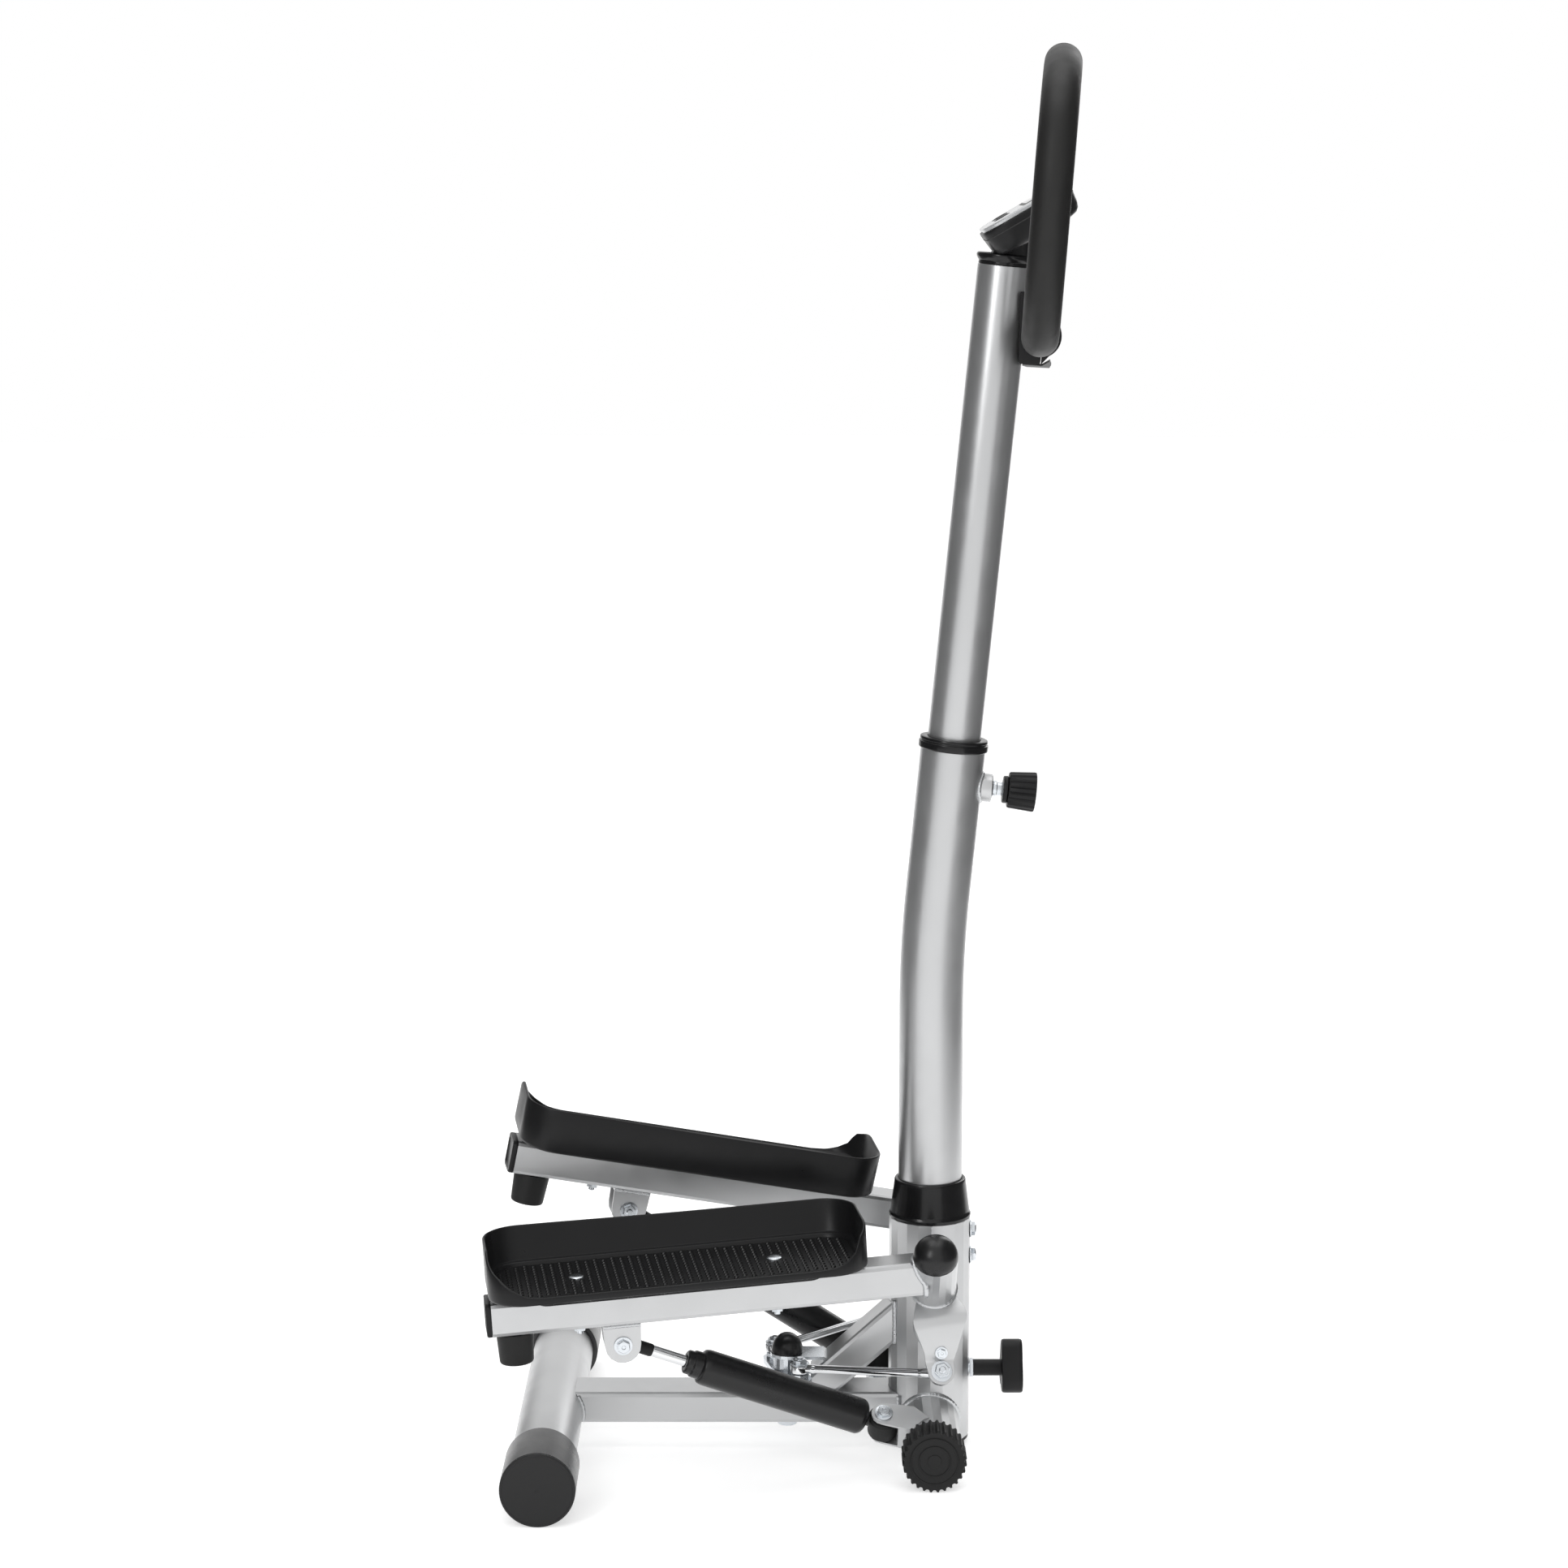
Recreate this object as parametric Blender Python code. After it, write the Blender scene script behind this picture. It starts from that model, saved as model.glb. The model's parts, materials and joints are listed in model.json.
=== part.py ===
"""Twisting stepper with a handlebar mast: two tilted pedals, a rocker link and two hydraulic cylinders.

Units are metres and +Z is up. +X is the way the user faces, +Y is the user's left, and the floor
is Z = 0. The pedals stand as they stop in use: the right one down and out, the left one up and in.
"""
import math

import bpy
import bmesh
from mathutils import Matrix, Vector

GAP = 0.0003                        # clearance between touching pieces
ROUND = 20                          # sides of a large round piece
SMALL_ROUND = 10                    # sides of a bolt or a thin rod

# Base frame
MAST_X = 0.1377                     # post, front stabilizer and mast stand at this X
POST_RADIUS = 0.0385
POST_WALL = 0.0025
POST_BOTTOM = 0.008
POST_TOP = 0.2222
BEAM_WIDTH = 0.050
BEAM_BOTTOM = 0.024
BEAM_TOP = 0.054
TUBE_WALL = 0.002
REAR_X = -0.2218
REAR_Z = 0.0344
REAR_RADIUS = 0.0295
REAR_HALF_LENGTH = 0.232
REAR_CAP_LENGTH = 0.072
REAR_CAP_RADIUS = 0.0344
FRONT_Z = 0.0298
FRONT_RADIUS = 0.027
FRONT_HALF_LENGTH = 0.1455
FRONT_CAP_LENGTH = 0.0315
FRONT_CAP_RADIUS = 0.0298
CAP_FACE = 0.006                    # thickness of an end cap's face
STRUT_ANGLE = math.radians(42)
STRUT_WIDTH = 0.040
STRUT_DEPTH = 0.031
STRUT_FOOT_X = 0.0282               # where the strut's middle line meets the beam
STRUT_REAR = 0.0249                 # its lower end is cut off here to clear the rocker

# Mast
MAST_LEAN = math.radians(5.6)
MAST_VERTEX = Vector((MAST_X, 0, 0.481))
MAST_BEND_REACH = 0.055             # from the vertex to each end of the bend
LOWER_RADIUS = 0.030
LOWER_BORE = 0.0275
LOWER_BOTTOM = 0.150
LOWER_END = 0.190                   # distances along the leaning mast, from the vertex
UPPER_RADIUS = 0.0246
UPPER_START = 0.085
UPPER_END = 0.637
LINER_START = 0.130
COLLAR_HEIGHT = 0.0112
COLLAR_RADIUS = 0.0325
HEIGHT_KNOB_AT = 0.157
MAST_BOLT_HEIGHTS = (0.2088, 0.1832)
TENSION_KNOB_Z = 0.0713
KNOB_RADIUS = 0.0238                # mean radius of the tension knob, and its lobes' swing about it
KNOB_LOBE = 0.0042

# Pedals, in a frame at the pivot that turns with the pedal
PIVOT = Vector((0.1387, 0.095, 0.195))
PIVOT_TILT = math.radians(40.4)     # of the pivot's axis, outwards from vertical
PITCH = math.radians(3.2)           # of the arm, rear end up
RIGHT_TURN = math.radians(10.1)     # from level, as the pedals stand
LEFT_TURN = math.radians(12.6)
ARM_WIDTH = 0.038
ARM_HEIGHT = 0.032
ARM_REAR = -0.411
SLEEVE_RADIUS = 0.0208
SLEEVE_BORE = 0.0154
SLEEVE_LOW = -0.0275
SLEEVE_HIGH = 0.0253
SHAFT_RADIUS = 0.015
SHAFT_ROOT = -0.089
PLATE_REAR = -0.413
PLATE_FRONT = -0.066
PLATE_HALF_WIDTH = 0.060
PLATE_WALL = 0.003
PLATE_UNDER = 0.0235                # heights above the arm's middle line
PLATE_FLOOR = 0.0285
PLATE_HIGH = 0.0650
PLATE_CORNER = 0.0545
PLATE_BASE_HALF_WIDTH = 0.042
PLATE_BASE_REAR = -0.372
PLATE_BASE_FRONT = -0.108
PLATE_BOLTS_X = (-0.331, -0.1485)
FOOT_X = -0.3903
FOOT_HEIGHT = 0.029
CLEVIS_X = -0.2934
CLEVIS_DROP = 0.036                 # from the arm's middle line to the clevis bolt
CLEVIS_GAP = 0.0112                 # from the middle to an ear
CLEVIS_EAR = 0.003
LUG = Vector((-0.0055, 0.0018, -0.0973))
LUG_TILT = math.radians(30)         # of the lug's bolt, outer end up

# Rocker link between the pedals
ROCKER_X = 0.0023
ROCKER_REACH = 0.0340
ROCKER_TURN = math.radians(20.5)
ROCKER_PLATE_Z = 0.0663
ROCKER_PLATE_THICKNESS = 0.005
ROD_Z = 0.081
SUPPORT_BAR_Z = 0.084
SUPPORT_BAR_THICKNESS = 0.003
SUPPORT_BAR_HALF_WIDTH = 0.016
TIE_ROD_RADIUS = 0.0046

# Hydraulic cylinders
CYLINDER_PIVOT = Vector((0.0916, 0.0895, 0.047))
CYLINDER_AXIS = Vector((0.029, 0.553, 0.832)).normalized()
CYLINDER_RADIUS = 0.0168
CYLINDER_START = 0.022              # distances from the pivot
CYLINDER_END = 0.185
CYLINDER_NECK_END = 0.200
PISTON_LENGTH = 0.1146
PISTON_RADIUS = 0.0053

# Console and handlebar
CONSOLE_TILT = math.radians(30)
CONSOLE_CENTRE = Vector((0.2192, 0, 1.1620))
CONSOLE_LENGTH = 0.090
CONSOLE_WIDTH = 0.100
CONSOLE_DEPTH = 0.032
HANDLE_YAW = math.radians(-4.3)     # the loop stands turned in its clamp, right side towards the user
HANDLE_LEAN = math.radians(4.2)
HANDLE_BASE = Vector((0.2330, 0, 1.052))
HANDLE_TUBE_RADIUS = 0.0125
GRIP_RADIUS = 0.017
GRIP_BORE = 0.0129
GRIP_START = 0.031                  # half the bare stretch of the loop in its clamp


# ---------------------------------------------------------------- materials

def finish(name, colour, roughness, metallic=0.0):
    """A Principled material."""
    material = bpy.data.materials.new(name)
    material.use_nodes = True
    shader = material.node_tree.nodes["Principled BSDF"]
    shader.inputs["Base Color"].default_value = (*colour, 1)
    shader.inputs["Roughness"].default_value = roughness
    shader.inputs["Metallic"].default_value = metallic
    return material


FINISHES = {
    "silver": ((0.60, 0.61, 0.62), 0.38, 0.75),
    "zinc": ((0.68, 0.70, 0.72), 0.28, 1.0),
    "chrome": ((0.80, 0.80, 0.80), 0.08, 1.0),
    "black_plastic": ((0.018, 0.018, 0.020), 0.38, 0.0),
    "gloss_black": ((0.012, 0.012, 0.013), 0.16, 0.0),
    "rubber": ((0.022, 0.022, 0.022), 0.62, 0.0),
    "foam": ((0.030, 0.029, 0.028), 0.85, 0.0),
    "console_silver": ((0.55, 0.56, 0.57), 0.32, 0.4),
    "display": ((0.035, 0.045, 0.040), 0.10, 0.0),
}


# ---------------------------------------------------------------- shapes

def finished_mesh(name, bm):
    """Mesh of a closed bmesh, its faces pointing out and its round sides smooth."""
    bmesh.ops.recalc_face_normals(bm, faces=bm.faces)
    mesh = bpy.data.meshes.new(name)
    bm.to_mesh(mesh)
    bm.free()
    mesh.shade_smooth()
    mesh.set_sharp_from_angle(angle=math.radians(35))
    return mesh


def turned(name, profile, steps=ROUND, ring=False):
    """Turn (radius, height) points about Z; a ring's points close on themselves."""
    bm = bmesh.new()
    rows = []
    for radius, height in profile:
        count = steps if radius > 0 else 1
        angles = [2 * math.pi * i / steps for i in range(count)]
        rows.append([bm.verts.new((radius * math.cos(a), radius * math.sin(a), height)) for a in angles])
    pairs = list(zip(rows, rows[1:]))
    if ring:
        pairs.append((rows[-1], rows[0]))
    for low, high in pairs:
        for i in range(steps):
            corners = []
            for row, k in ((low, i), (low, i + 1), (high, i + 1), (high, i)):
                vertex = row[k % len(row)]
                if vertex not in corners:
                    corners.append(vertex)
            if len(corners) > 2:
                bm.faces.new(corners)
    if not ring:
        for row in (rows[0], rows[-1]):
            if len(row) > 1:
                bm.faces.new(row)
    return finished_mesh(name, bm)


def rod(name, radius, low, high, steps=ROUND):
    """A plain round bar along Z."""
    return turned(name, [(radius, low), (radius, high)], steps)


def pipe(name, radius, bore, low, high, steps=ROUND):
    """A round tube along Z, open at both ends."""
    return turned(name, [(radius, low), (radius, high), (bore, high), (bore, low)], steps, ring=True)


def prism(name, outline, low, high, hole=None):
    """Extrude an (x, y) outline along Z. A hole has as many points as the outline."""
    bm = bmesh.new()
    loops = []
    for points in [outline] + ([hole] if hole else []):
        loops.append([[bm.verts.new((x, y, z)) for x, y in points] for z in (low, high)])
    count = len(outline)
    for bottom, top in loops:
        for i in range(count):
            j = (i + 1) % count
            bm.faces.new((bottom[i], bottom[j], top[j], top[i]))
    for level in (0, 1):
        if hole:
            outer, inner = loops[0][level], loops[1][level]
            for i in range(count):
                j = (i + 1) % count
                bm.faces.new((outer[i], outer[j], inner[j], inner[i]))
        else:
            bm.faces.new(loops[0][level])
    return finished_mesh(name, bm)


def rounded_rectangle(width, height, radius, steps=2):
    """Corner points of a rectangle centred on the origin, anticlockwise."""
    points = []
    for corner, (sx, sy) in enumerate(((1, 1), (-1, 1), (-1, -1), (1, -1))):
        for i in range(steps + 1):
            angle = math.pi / 2 * (corner + i / steps)
            x = sx * (width / 2 - radius) + radius * math.cos(angle)
            y = sy * (height / 2 - radius) + radius * math.sin(angle)
            points.append((x, y))
    return points


def square_tube(name, width, height, low, high):
    """A rectangular tube along Z with rounded corners, open at both ends."""
    outside = rounded_rectangle(width, height, 0.004)
    inside = rounded_rectangle(width - 2 * TUBE_WALL, height - 2 * TUBE_WALL, 0.002)
    return prism(name, outside, low, high, hole=inside)


def circle_points(radius, steps, offset=0.0):
    """Points of a regular polygon."""
    angles = [2 * math.pi * (i + offset) / steps for i in range(steps)]
    return [(radius * math.cos(a), radius * math.sin(a)) for a in angles]


def swept(name, path, normal, radii, steps, closed=False):
    """Sweep a circle, or a ring of two radii, along a flat path whose plane has this normal."""
    bm = bmesh.new()
    count = len(path)
    skins = [[] for _ in radii]
    for i, point in enumerate(path):
        after = path[(i + 1) % count] if closed or i < count - 1 else point
        before = path[i - 1] if closed or i > 0 else point
        side = (after - before).normalized().cross(normal)
        for skin, radius in zip(skins, radii):
            ring = [point + normal * x + side * y for x, y in circle_points(radius, steps)]
            skin.append([bm.verts.new(p) for p in ring])
    for skin in skins:
        rows = list(zip(skin, skin[1:] + skin[:1])) if closed else list(zip(skin, skin[1:]))
        for low, high in rows:
            for i in range(steps):
                j = (i + 1) % steps
                bm.faces.new((low[i], low[j], high[j], high[i]))
    if not closed and len(skins) == 2:
        for end in (0, -1):
            for i in range(steps):
                j = (i + 1) % steps
                bm.faces.new((skins[0][end][i], skins[0][end][j], skins[1][end][j], skins[1][end][i]))
    return finished_mesh(name, bm)


# ---------------------------------------------------------------- objects

def along(origin, direction):
    """Matrix that puts local Z along a direction at a point."""
    turn = Vector(direction).to_track_quat("Z", "Y").to_matrix().to_4x4()
    return Matrix.Translation(origin) @ turn


def along_x(origin):
    """Matrix for an (x, y) outline that stands across X: local x is Y, local y is Z, local z is X."""
    return Matrix.Translation(origin) @ Matrix(((0, 0, 1, 0), (1, 0, 0, 0), (0, 1, 0, 0), (0, 0, 0, 1)))


def along_y(origin):
    """Matrix for an (x, y) outline that is a side view: local x is X, local y is Z, local z is -Y."""
    return Matrix.Translation(origin) @ Matrix(((1, 0, 0, 0), (0, 0, -1, 0), (0, 1, 0, 0), (0, 0, 0, 1)))


def place(name, mesh, colour, matrix=None, parent=None):
    """Add one piece; its matrix is in its parent's frame."""
    piece = bpy.data.objects.new(name, mesh)
    bpy.context.scene.collection.objects.link(piece)
    mesh.name = name
    mesh.materials.append(finish(name, *FINISHES[colour]))
    piece.parent = parent
    piece.matrix_basis = matrix or Matrix.Identity(4)
    return piece


def pivot(name, matrix, parent=None):
    """An empty on a joint's axis."""
    empty = bpy.data.objects.new(name, None)
    bpy.context.scene.collection.objects.link(empty)
    empty.empty_display_size = 0.03
    empty.parent = parent
    empty.matrix_basis = matrix
    return empty


def combine(piece, other_mesh, matrix, operation="DIFFERENCE", parent=None):
    """Cut a piece with a guide mesh, or join the guide to it."""
    guide = bpy.data.objects.new(piece.name + "_guide", other_mesh)
    bpy.context.scene.collection.objects.link(guide)
    guide.parent = parent
    guide.matrix_basis = matrix
    guide.hide_render = True
    guide.display_type = "WIRE"
    modifier = piece.modifiers.new(operation.title(), "BOOLEAN")
    modifier.operation = operation
    modifier.solver = "EXACT"
    modifier.object = guide


# ---------------------------------------------------------------- base frame

def post_cutter(piece):
    """Cut a piece to the base post's outside."""
    mesh = rod("post_outside", POST_RADIUS + GAP, 0, POST_TOP + 0.02)
    combine(piece, mesh, Matrix.Translation((MAST_X, 0, 0)))


def build_main_beam():
    middle = (BEAM_BOTTOM + BEAM_TOP) / 2
    mesh = square_tube("beam", BEAM_WIDTH, BEAM_TOP - BEAM_BOTTOM, REAR_X + 0.010, MAST_X - 0.020)
    beam = place("main_beam", mesh, "silver", along_x((0, 0, middle)))
    post_cutter(beam)
    rear = rod("rear_tube_outside", REAR_RADIUS + GAP, -BEAM_WIDTH, BEAM_WIDTH)
    combine(beam, rear, along((REAR_X, 0, REAR_Z), (0, 1, 0)))
    combine(beam, rod("bolt_hole", 0.0056, 0, 0.1, SMALL_ROUND), Matrix.Translation((ROCKER_X, 0, 0)))


def build_support_strut():
    """A tube from the beam up to the back of the post, cut flush at both ends."""
    direction = Vector((math.cos(STRUT_ANGLE), 0, math.sin(STRUT_ANGLE)))
    foot = Vector((STRUT_FOOT_X, 0, BEAM_TOP))
    mesh = square_tube("strut", STRUT_WIDTH, STRUT_DEPTH, -0.030, 0.135)
    across = Matrix((
        (0, -direction.z, direction.x, foot.x),
        (1, 0, 0, 0),
        (0, direction.x, direction.z, foot.z),
        (0, 0, 0, 1)))
    strut = place("support_strut", mesh, "silver", across)
    post_cutter(strut)
    floor = prism("beam_outside", rounded_rectangle(0.3, 0.1, 0.001, 1), 0, BEAM_TOP + GAP)
    combine(strut, floor, Matrix.Translation((STRUT_FOOT_X, 0, 0)))
    behind = prism("rocker_room", rounded_rectangle(0.06, 0.1, 0.001, 1), 0, 0.1)
    combine(strut, behind, Matrix.Translation((STRUT_REAR - 0.03, 0, 0)))


def build_rear_stabilizer():
    tube_end = REAR_HALF_LENGTH - CAP_FACE - GAP
    mesh = pipe("rear", REAR_RADIUS, REAR_RADIUS - TUBE_WALL, -tube_end, tube_end)
    place("rear_stabilizer", mesh, "silver", along((REAR_X, 0, REAR_Z), (0, 1, 0)))
    for side, label in ((-1, "right"), (1, "left")):
        bore = REAR_RADIUS + GAP
        inner_rim = 0.0312
        profile = [
            (inner_rim, 0), (REAR_CAP_RADIUS, REAR_CAP_LENGTH - 0.004),
            (REAR_CAP_RADIUS - 0.002, REAR_CAP_LENGTH), (0, REAR_CAP_LENGTH),
            (0, REAR_CAP_LENGTH - CAP_FACE), (bore, REAR_CAP_LENGTH - CAP_FACE), (bore, 0)]
        start = (REAR_X, side * (REAR_HALF_LENGTH - REAR_CAP_LENGTH), REAR_Z)
        mesh = turned("cap", profile, 32, ring=True)
        place("rear_cap_" + label, mesh, "gloss_black", along(start, (0, side, 0)))


def build_front_stabilizer():
    """Two short tubes on the sides of the post, each with a ribbed rubber cap."""
    for side, label in ((-1, "right"), (1, "left")):
        tube_end = FRONT_HALF_LENGTH - CAP_FACE - GAP
        mesh = pipe("front", FRONT_RADIUS, FRONT_RADIUS - TUBE_WALL, 0.012, tube_end)
        tube = place("front_tube_" + label, mesh, "silver", along((MAST_X, 0, FRONT_Z), (0, side, 0)))
        post_cutter(tube)
        bore = FRONT_RADIUS + GAP
        low = FRONT_HALF_LENGTH - FRONT_CAP_LENGTH
        face = FRONT_HALF_LENGTH - CAP_FACE
        profile = [
            (FRONT_CAP_RADIUS, low), (FRONT_CAP_RADIUS, FRONT_HALF_LENGTH - 0.002),
            (FRONT_CAP_RADIUS - 0.002, FRONT_HALF_LENGTH), (0, FRONT_HALF_LENGTH),
            (0, face), (bore, face), (bore, low)]
        mesh = turned("cap", profile, 28, ring=True)
        place("front_cap_" + label, mesh, "rubber", along((MAST_X, 0, FRONT_Z), (0, side, 0)))


def pivot_axis(side):
    """Axis of a pedal's pivot, pointing up and outwards."""
    return Vector((0, side * math.sin(PIVOT_TILT), math.cos(PIVOT_TILT)))


def pivot_point(side):
    return Vector((PIVOT.x, side * PIVOT.y, PIVOT.z))


def build_base_post():
    """The upright tube with the two tilted pedal shafts welded to it."""
    mesh = pipe("post", POST_RADIUS, POST_RADIUS - POST_WALL, POST_BOTTOM, POST_TOP)
    post = place("base_post", mesh, "silver", Matrix.Translation((MAST_X, 0, 0)))
    for side in (-1, 1):
        shaft = rod("pedal_shaft", SHAFT_RADIUS, SHAFT_ROOT, SLEEVE_HIGH - 0.001, 20)
        combine(post, shaft, along(pivot_point(side), pivot_axis(side)), "UNION")
    for height in MAST_BOLT_HEIGHTS:
        hole = rod("bolt_hole", 0.0046, 0, 0.06, SMALL_ROUND)
        combine(post, hole, along((MAST_X, 0, height), (1, 0, 0)))
    hole = rod("screw_hole", 0.0056, 0, 0.06, SMALL_ROUND)
    combine(post, hole, along((MAST_X, 0, TENSION_KNOB_Z), (1, 0, 0)))
    plug = [
        (POST_RADIUS - 0.001, 0.004), (POST_RADIUS - 0.001, POST_BOTTOM - GAP),
        (POST_RADIUS - POST_WALL - GAP, POST_BOTTOM - GAP), (POST_RADIUS - POST_WALL - GAP, 0.020)]
    place("post_plug", turned("plug", plug), "black_plastic", Matrix.Translation((MAST_X, 0, 0)))


def build_mast_bushing():
    """The black cone on the post that the mast stands in, with its sleeve down inside the post."""
    bore = LOWER_RADIUS + GAP
    sleeve = POST_RADIUS - POST_WALL - GAP
    profile = [
        (sleeve, POST_TOP - 0.006), (sleeve, POST_TOP + GAP), (POST_RADIUS + 0.0003, POST_TOP + GAP),
        (POST_RADIUS, 0.2262), (0.0335, 0.2575), (0.0320, 0.2600), (bore, 0.2600), (bore, POST_TOP - 0.006)]
    place("mast_bushing", turned("bushing", profile, ring=True), "black_plastic",
          Matrix.Translation((MAST_X, 0, 0)))
    names = ("mast_bolt_upper", "mast_bolt_lower")
    for name, height in zip(names, MAST_BOLT_HEIGHTS):
        shank = 0.004
        profile = [
            (shank, LOWER_BORE - 0.004), (shank, POST_RADIUS + GAP), (0.0078, POST_RADIUS + GAP),
            (0.0078, POST_RADIUS + 0.0015), (0.0058, POST_RADIUS + 0.0018), (0.0058, POST_RADIUS + 0.0060)]
        place(name, turned("bolt", profile, SMALL_ROUND), "zinc", along((MAST_X, 0, height), (1, 0, 0)))


def build_tension_knob():
    """The three-lobed clamp knob low on the front of the post; it turns on its own screw."""
    axis = pivot("tension_knob_axis", along((MAST_X, 0, TENSION_KNOB_Z), (1, 0, 0)))
    profile = [
        (0.005, POST_RADIUS - 0.012), (0.005, POST_RADIUS + 0.0008), (0.0080, POST_RADIUS + 0.0008),
        (0.0080, 0.0430), (0.0085, 0.0432), (0.0085, 0.0700)]
    knob = place("tension_knob", turned("knob_stem", profile), "black_plastic", parent=axis)
    lobes = []
    for i in range(36):
        angle = math.radians(10 * i)
        reach = KNOB_RADIUS + KNOB_LOBE * math.cos(3 * (angle - math.pi / 2))
        lobes.append((reach * math.cos(angle), reach * math.sin(angle)))
    combine(knob, prism("knob_lobes", lobes, 0.0690, 0.0890), Matrix.Identity(4), "UNION", axis)


# ---------------------------------------------------------------- mast

def mast_direction():
    return Vector((math.sin(MAST_LEAN), 0, math.cos(MAST_LEAN)))


def mast_frame():
    """Local Z runs up the leaning part of the mast from the bend's vertex, and local X faces forwards."""
    return Matrix.Translation(MAST_VERTEX) @ Matrix.Rotation(MAST_LEAN, 4, "Y")


def bend_path():
    """Middle line of the lower mast tube: upright, a wide bend, then leaning forwards."""
    start = MAST_VERTEX - Vector((0, 0, MAST_BEND_REACH))
    radius = MAST_BEND_REACH / math.tan(MAST_LEAN / 2)
    centre = start + Vector((radius, 0, 0))
    steps = 4
    path = [Vector((MAST_X, 0, LOWER_BOTTOM))]
    for i in range(steps + 1):
        angle = MAST_LEAN * i / steps
        path.append(centre + Vector((-radius * math.cos(angle), 0, radius * math.sin(angle))))
    path.append(MAST_VERTEX + mast_direction() * LOWER_END)
    return path


def build_lower_mast():
    mesh = swept("lower", bend_path(), Vector((0, 1, 0)), (LOWER_RADIUS, LOWER_BORE), ROUND)
    tube = place("mast_lower_tube", mesh, "silver")
    forwards = Matrix.Rotation(math.pi / 2, 4, "Y")
    knob_axis = mast_frame() @ Matrix.Translation((0, 0, HEIGHT_KNOB_AT)) @ forwards
    combine(tube, rod("boss", 0.013, 0.0285, 0.0396, 16), knob_axis, "UNION")
    combine(tube, rod("pin_hole", 0.0069, 0.020, 0.045, SMALL_ROUND), knob_axis)
    for height in MAST_BOLT_HEIGHTS:
        hole = rod("bolt_hole", 0.0046, 0, 0.06, SMALL_ROUND)
        combine(tube, hole, along((MAST_X, 0, height), (1, 0, 0)))
    bore = UPPER_RADIUS + 0.0005
    top = LOWER_END + GAP
    profile = [
        (LOWER_BORE - GAP, LINER_START), (LOWER_BORE - GAP, top), (COLLAR_RADIUS - 0.001, top),
        (COLLAR_RADIUS, top + 0.002), (COLLAR_RADIUS, top + COLLAR_HEIGHT - 0.002),
        (COLLAR_RADIUS - 0.0015, top + COLLAR_HEIGHT), (bore, top + COLLAR_HEIGHT), (bore, LINER_START)]
    collar = place("mast_collar", turned("collar", profile, ring=True), "black_plastic", mast_frame())
    combine(collar, rod("pin_hole", 0.0069, 0.020, 0.031, SMALL_ROUND), knob_axis)
    axis = pivot("height_knob_axis", knob_axis)
    profile = [
        (0.0064, UPPER_RADIUS + 0.0010), (0.0064, 0.0495), (0.0120, 0.0497), (0.0120, 0.0545),
        (0.0168, 0.0560), (0.0186, 0.0785), (0.0170, 0.0804)]
    place("height_knob", turned("knob", profile, 28), "black_plastic", parent=axis)


def build_upper_mast():
    """The tube that slides in the lower one, with the black plug that the console sits on."""
    axis = pivot("mast_height_axis", mast_frame())
    mesh = pipe("upper", UPPER_RADIUS, UPPER_RADIUS - TUBE_WALL, UPPER_START, UPPER_END)
    place("mast_upper_tube", mesh, "silver", parent=axis)
    inside = UPPER_RADIUS - TUBE_WALL - GAP
    top = UPPER_END + GAP
    profile = [
        (inside, UPPER_END - 0.025), (inside, top), (UPPER_RADIUS - 0.0004, top),
        (0.0238, top + 0.0035), (0.0262, top + 0.0060), (0.0266, top + 0.0090), (0.0250, top + 0.0105)]
    place("console_plug", turned("plug", profile), "black_plastic", parent=axis)
    return axis


# ---------------------------------------------------------------- console

def console_frame():
    """Local X runs up the face towards the front, local Y to the user's left, local Z out of the face."""
    return Matrix.Translation(CONSOLE_CENTRE) @ Matrix.Rotation(-CONSOLE_TILT, 4, "Y")


def build_console(mast_axis):
    """A rounded case on the mast's plug, its silver face with a display and two buttons."""
    frame = mast_axis.matrix_basis.inverted() @ console_frame()
    outline = rounded_rectangle(CONSOLE_LENGTH, CONSOLE_WIDTH, 0.026, 5)
    bm = bmesh.new()
    levels = ((0.82, -CONSOLE_DEPTH), (0.93, 0.004 - CONSOLE_DEPTH), (0.985, -0.0030), (1.0, 0.0030), (1.0, 0.0046))
    rows = []
    for scale, height in levels:
        rows.append([bm.verts.new((x * scale, y * scale, height)) for x, y in outline])
    count = len(outline)
    for low, high in zip(rows, rows[1:]):
        for i in range(count):
            j = (i + 1) % count
            bm.faces.new((low[i], low[j], high[j], high[i]))
    bm.faces.new(rows[0])
    bm.faces.new(rows[-1])
    body = place("console_body", finished_mesh("console", bm), "black_plastic", frame, mast_axis)
    floor = Matrix.Translation((0, 0, UPPER_END + 0.0112 - 0.06))
    combine(body, rod("plug_top", 0.060, 0, 0.06), floor, parent=mast_axis)
    face_outline = rounded_rectangle(CONSOLE_LENGTH - 0.004, CONSOLE_WIDTH - 0.004, 0.024, 5)
    low = 0.0046 + GAP
    high = low + 0.0035
    face = place("console_face", prism("face", face_outline, low, high), "console_silver", frame, mast_axis)
    window = rounded_rectangle(0.036, 0.062, 0.003, 1)
    window_at = Matrix.Translation((0.019, 0, 0))
    combine(face, prism("window", window, low + 0.0012, high + 0.01), frame @ window_at, parent=mast_axis)
    display = rounded_rectangle(0.036 - 2 * GAP, 0.062 - 2 * GAP, 0.003, 1)
    mesh = prism("display", display, low + 0.0012 + GAP, high - 0.0006)
    place("console_display", mesh, "display", frame @ window_at, mast_axis)
    for side, label in ((-1, "right"), (1, "left")):
        spot = frame @ Matrix.Translation((-0.022, side * 0.016, 0))
        combine(face, rod("button_hole", 0.0072, low + 0.0012, high + 0.01, 16), spot, parent=mast_axis)
        axis = pivot("console_button_%s_axis" % label, spot, mast_axis)
        mesh = rod("button", 0.0068, low + 0.0021, high + 0.0009, 16)
        place("console_button_" + label, mesh, "black_plastic", parent=axis)


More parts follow.
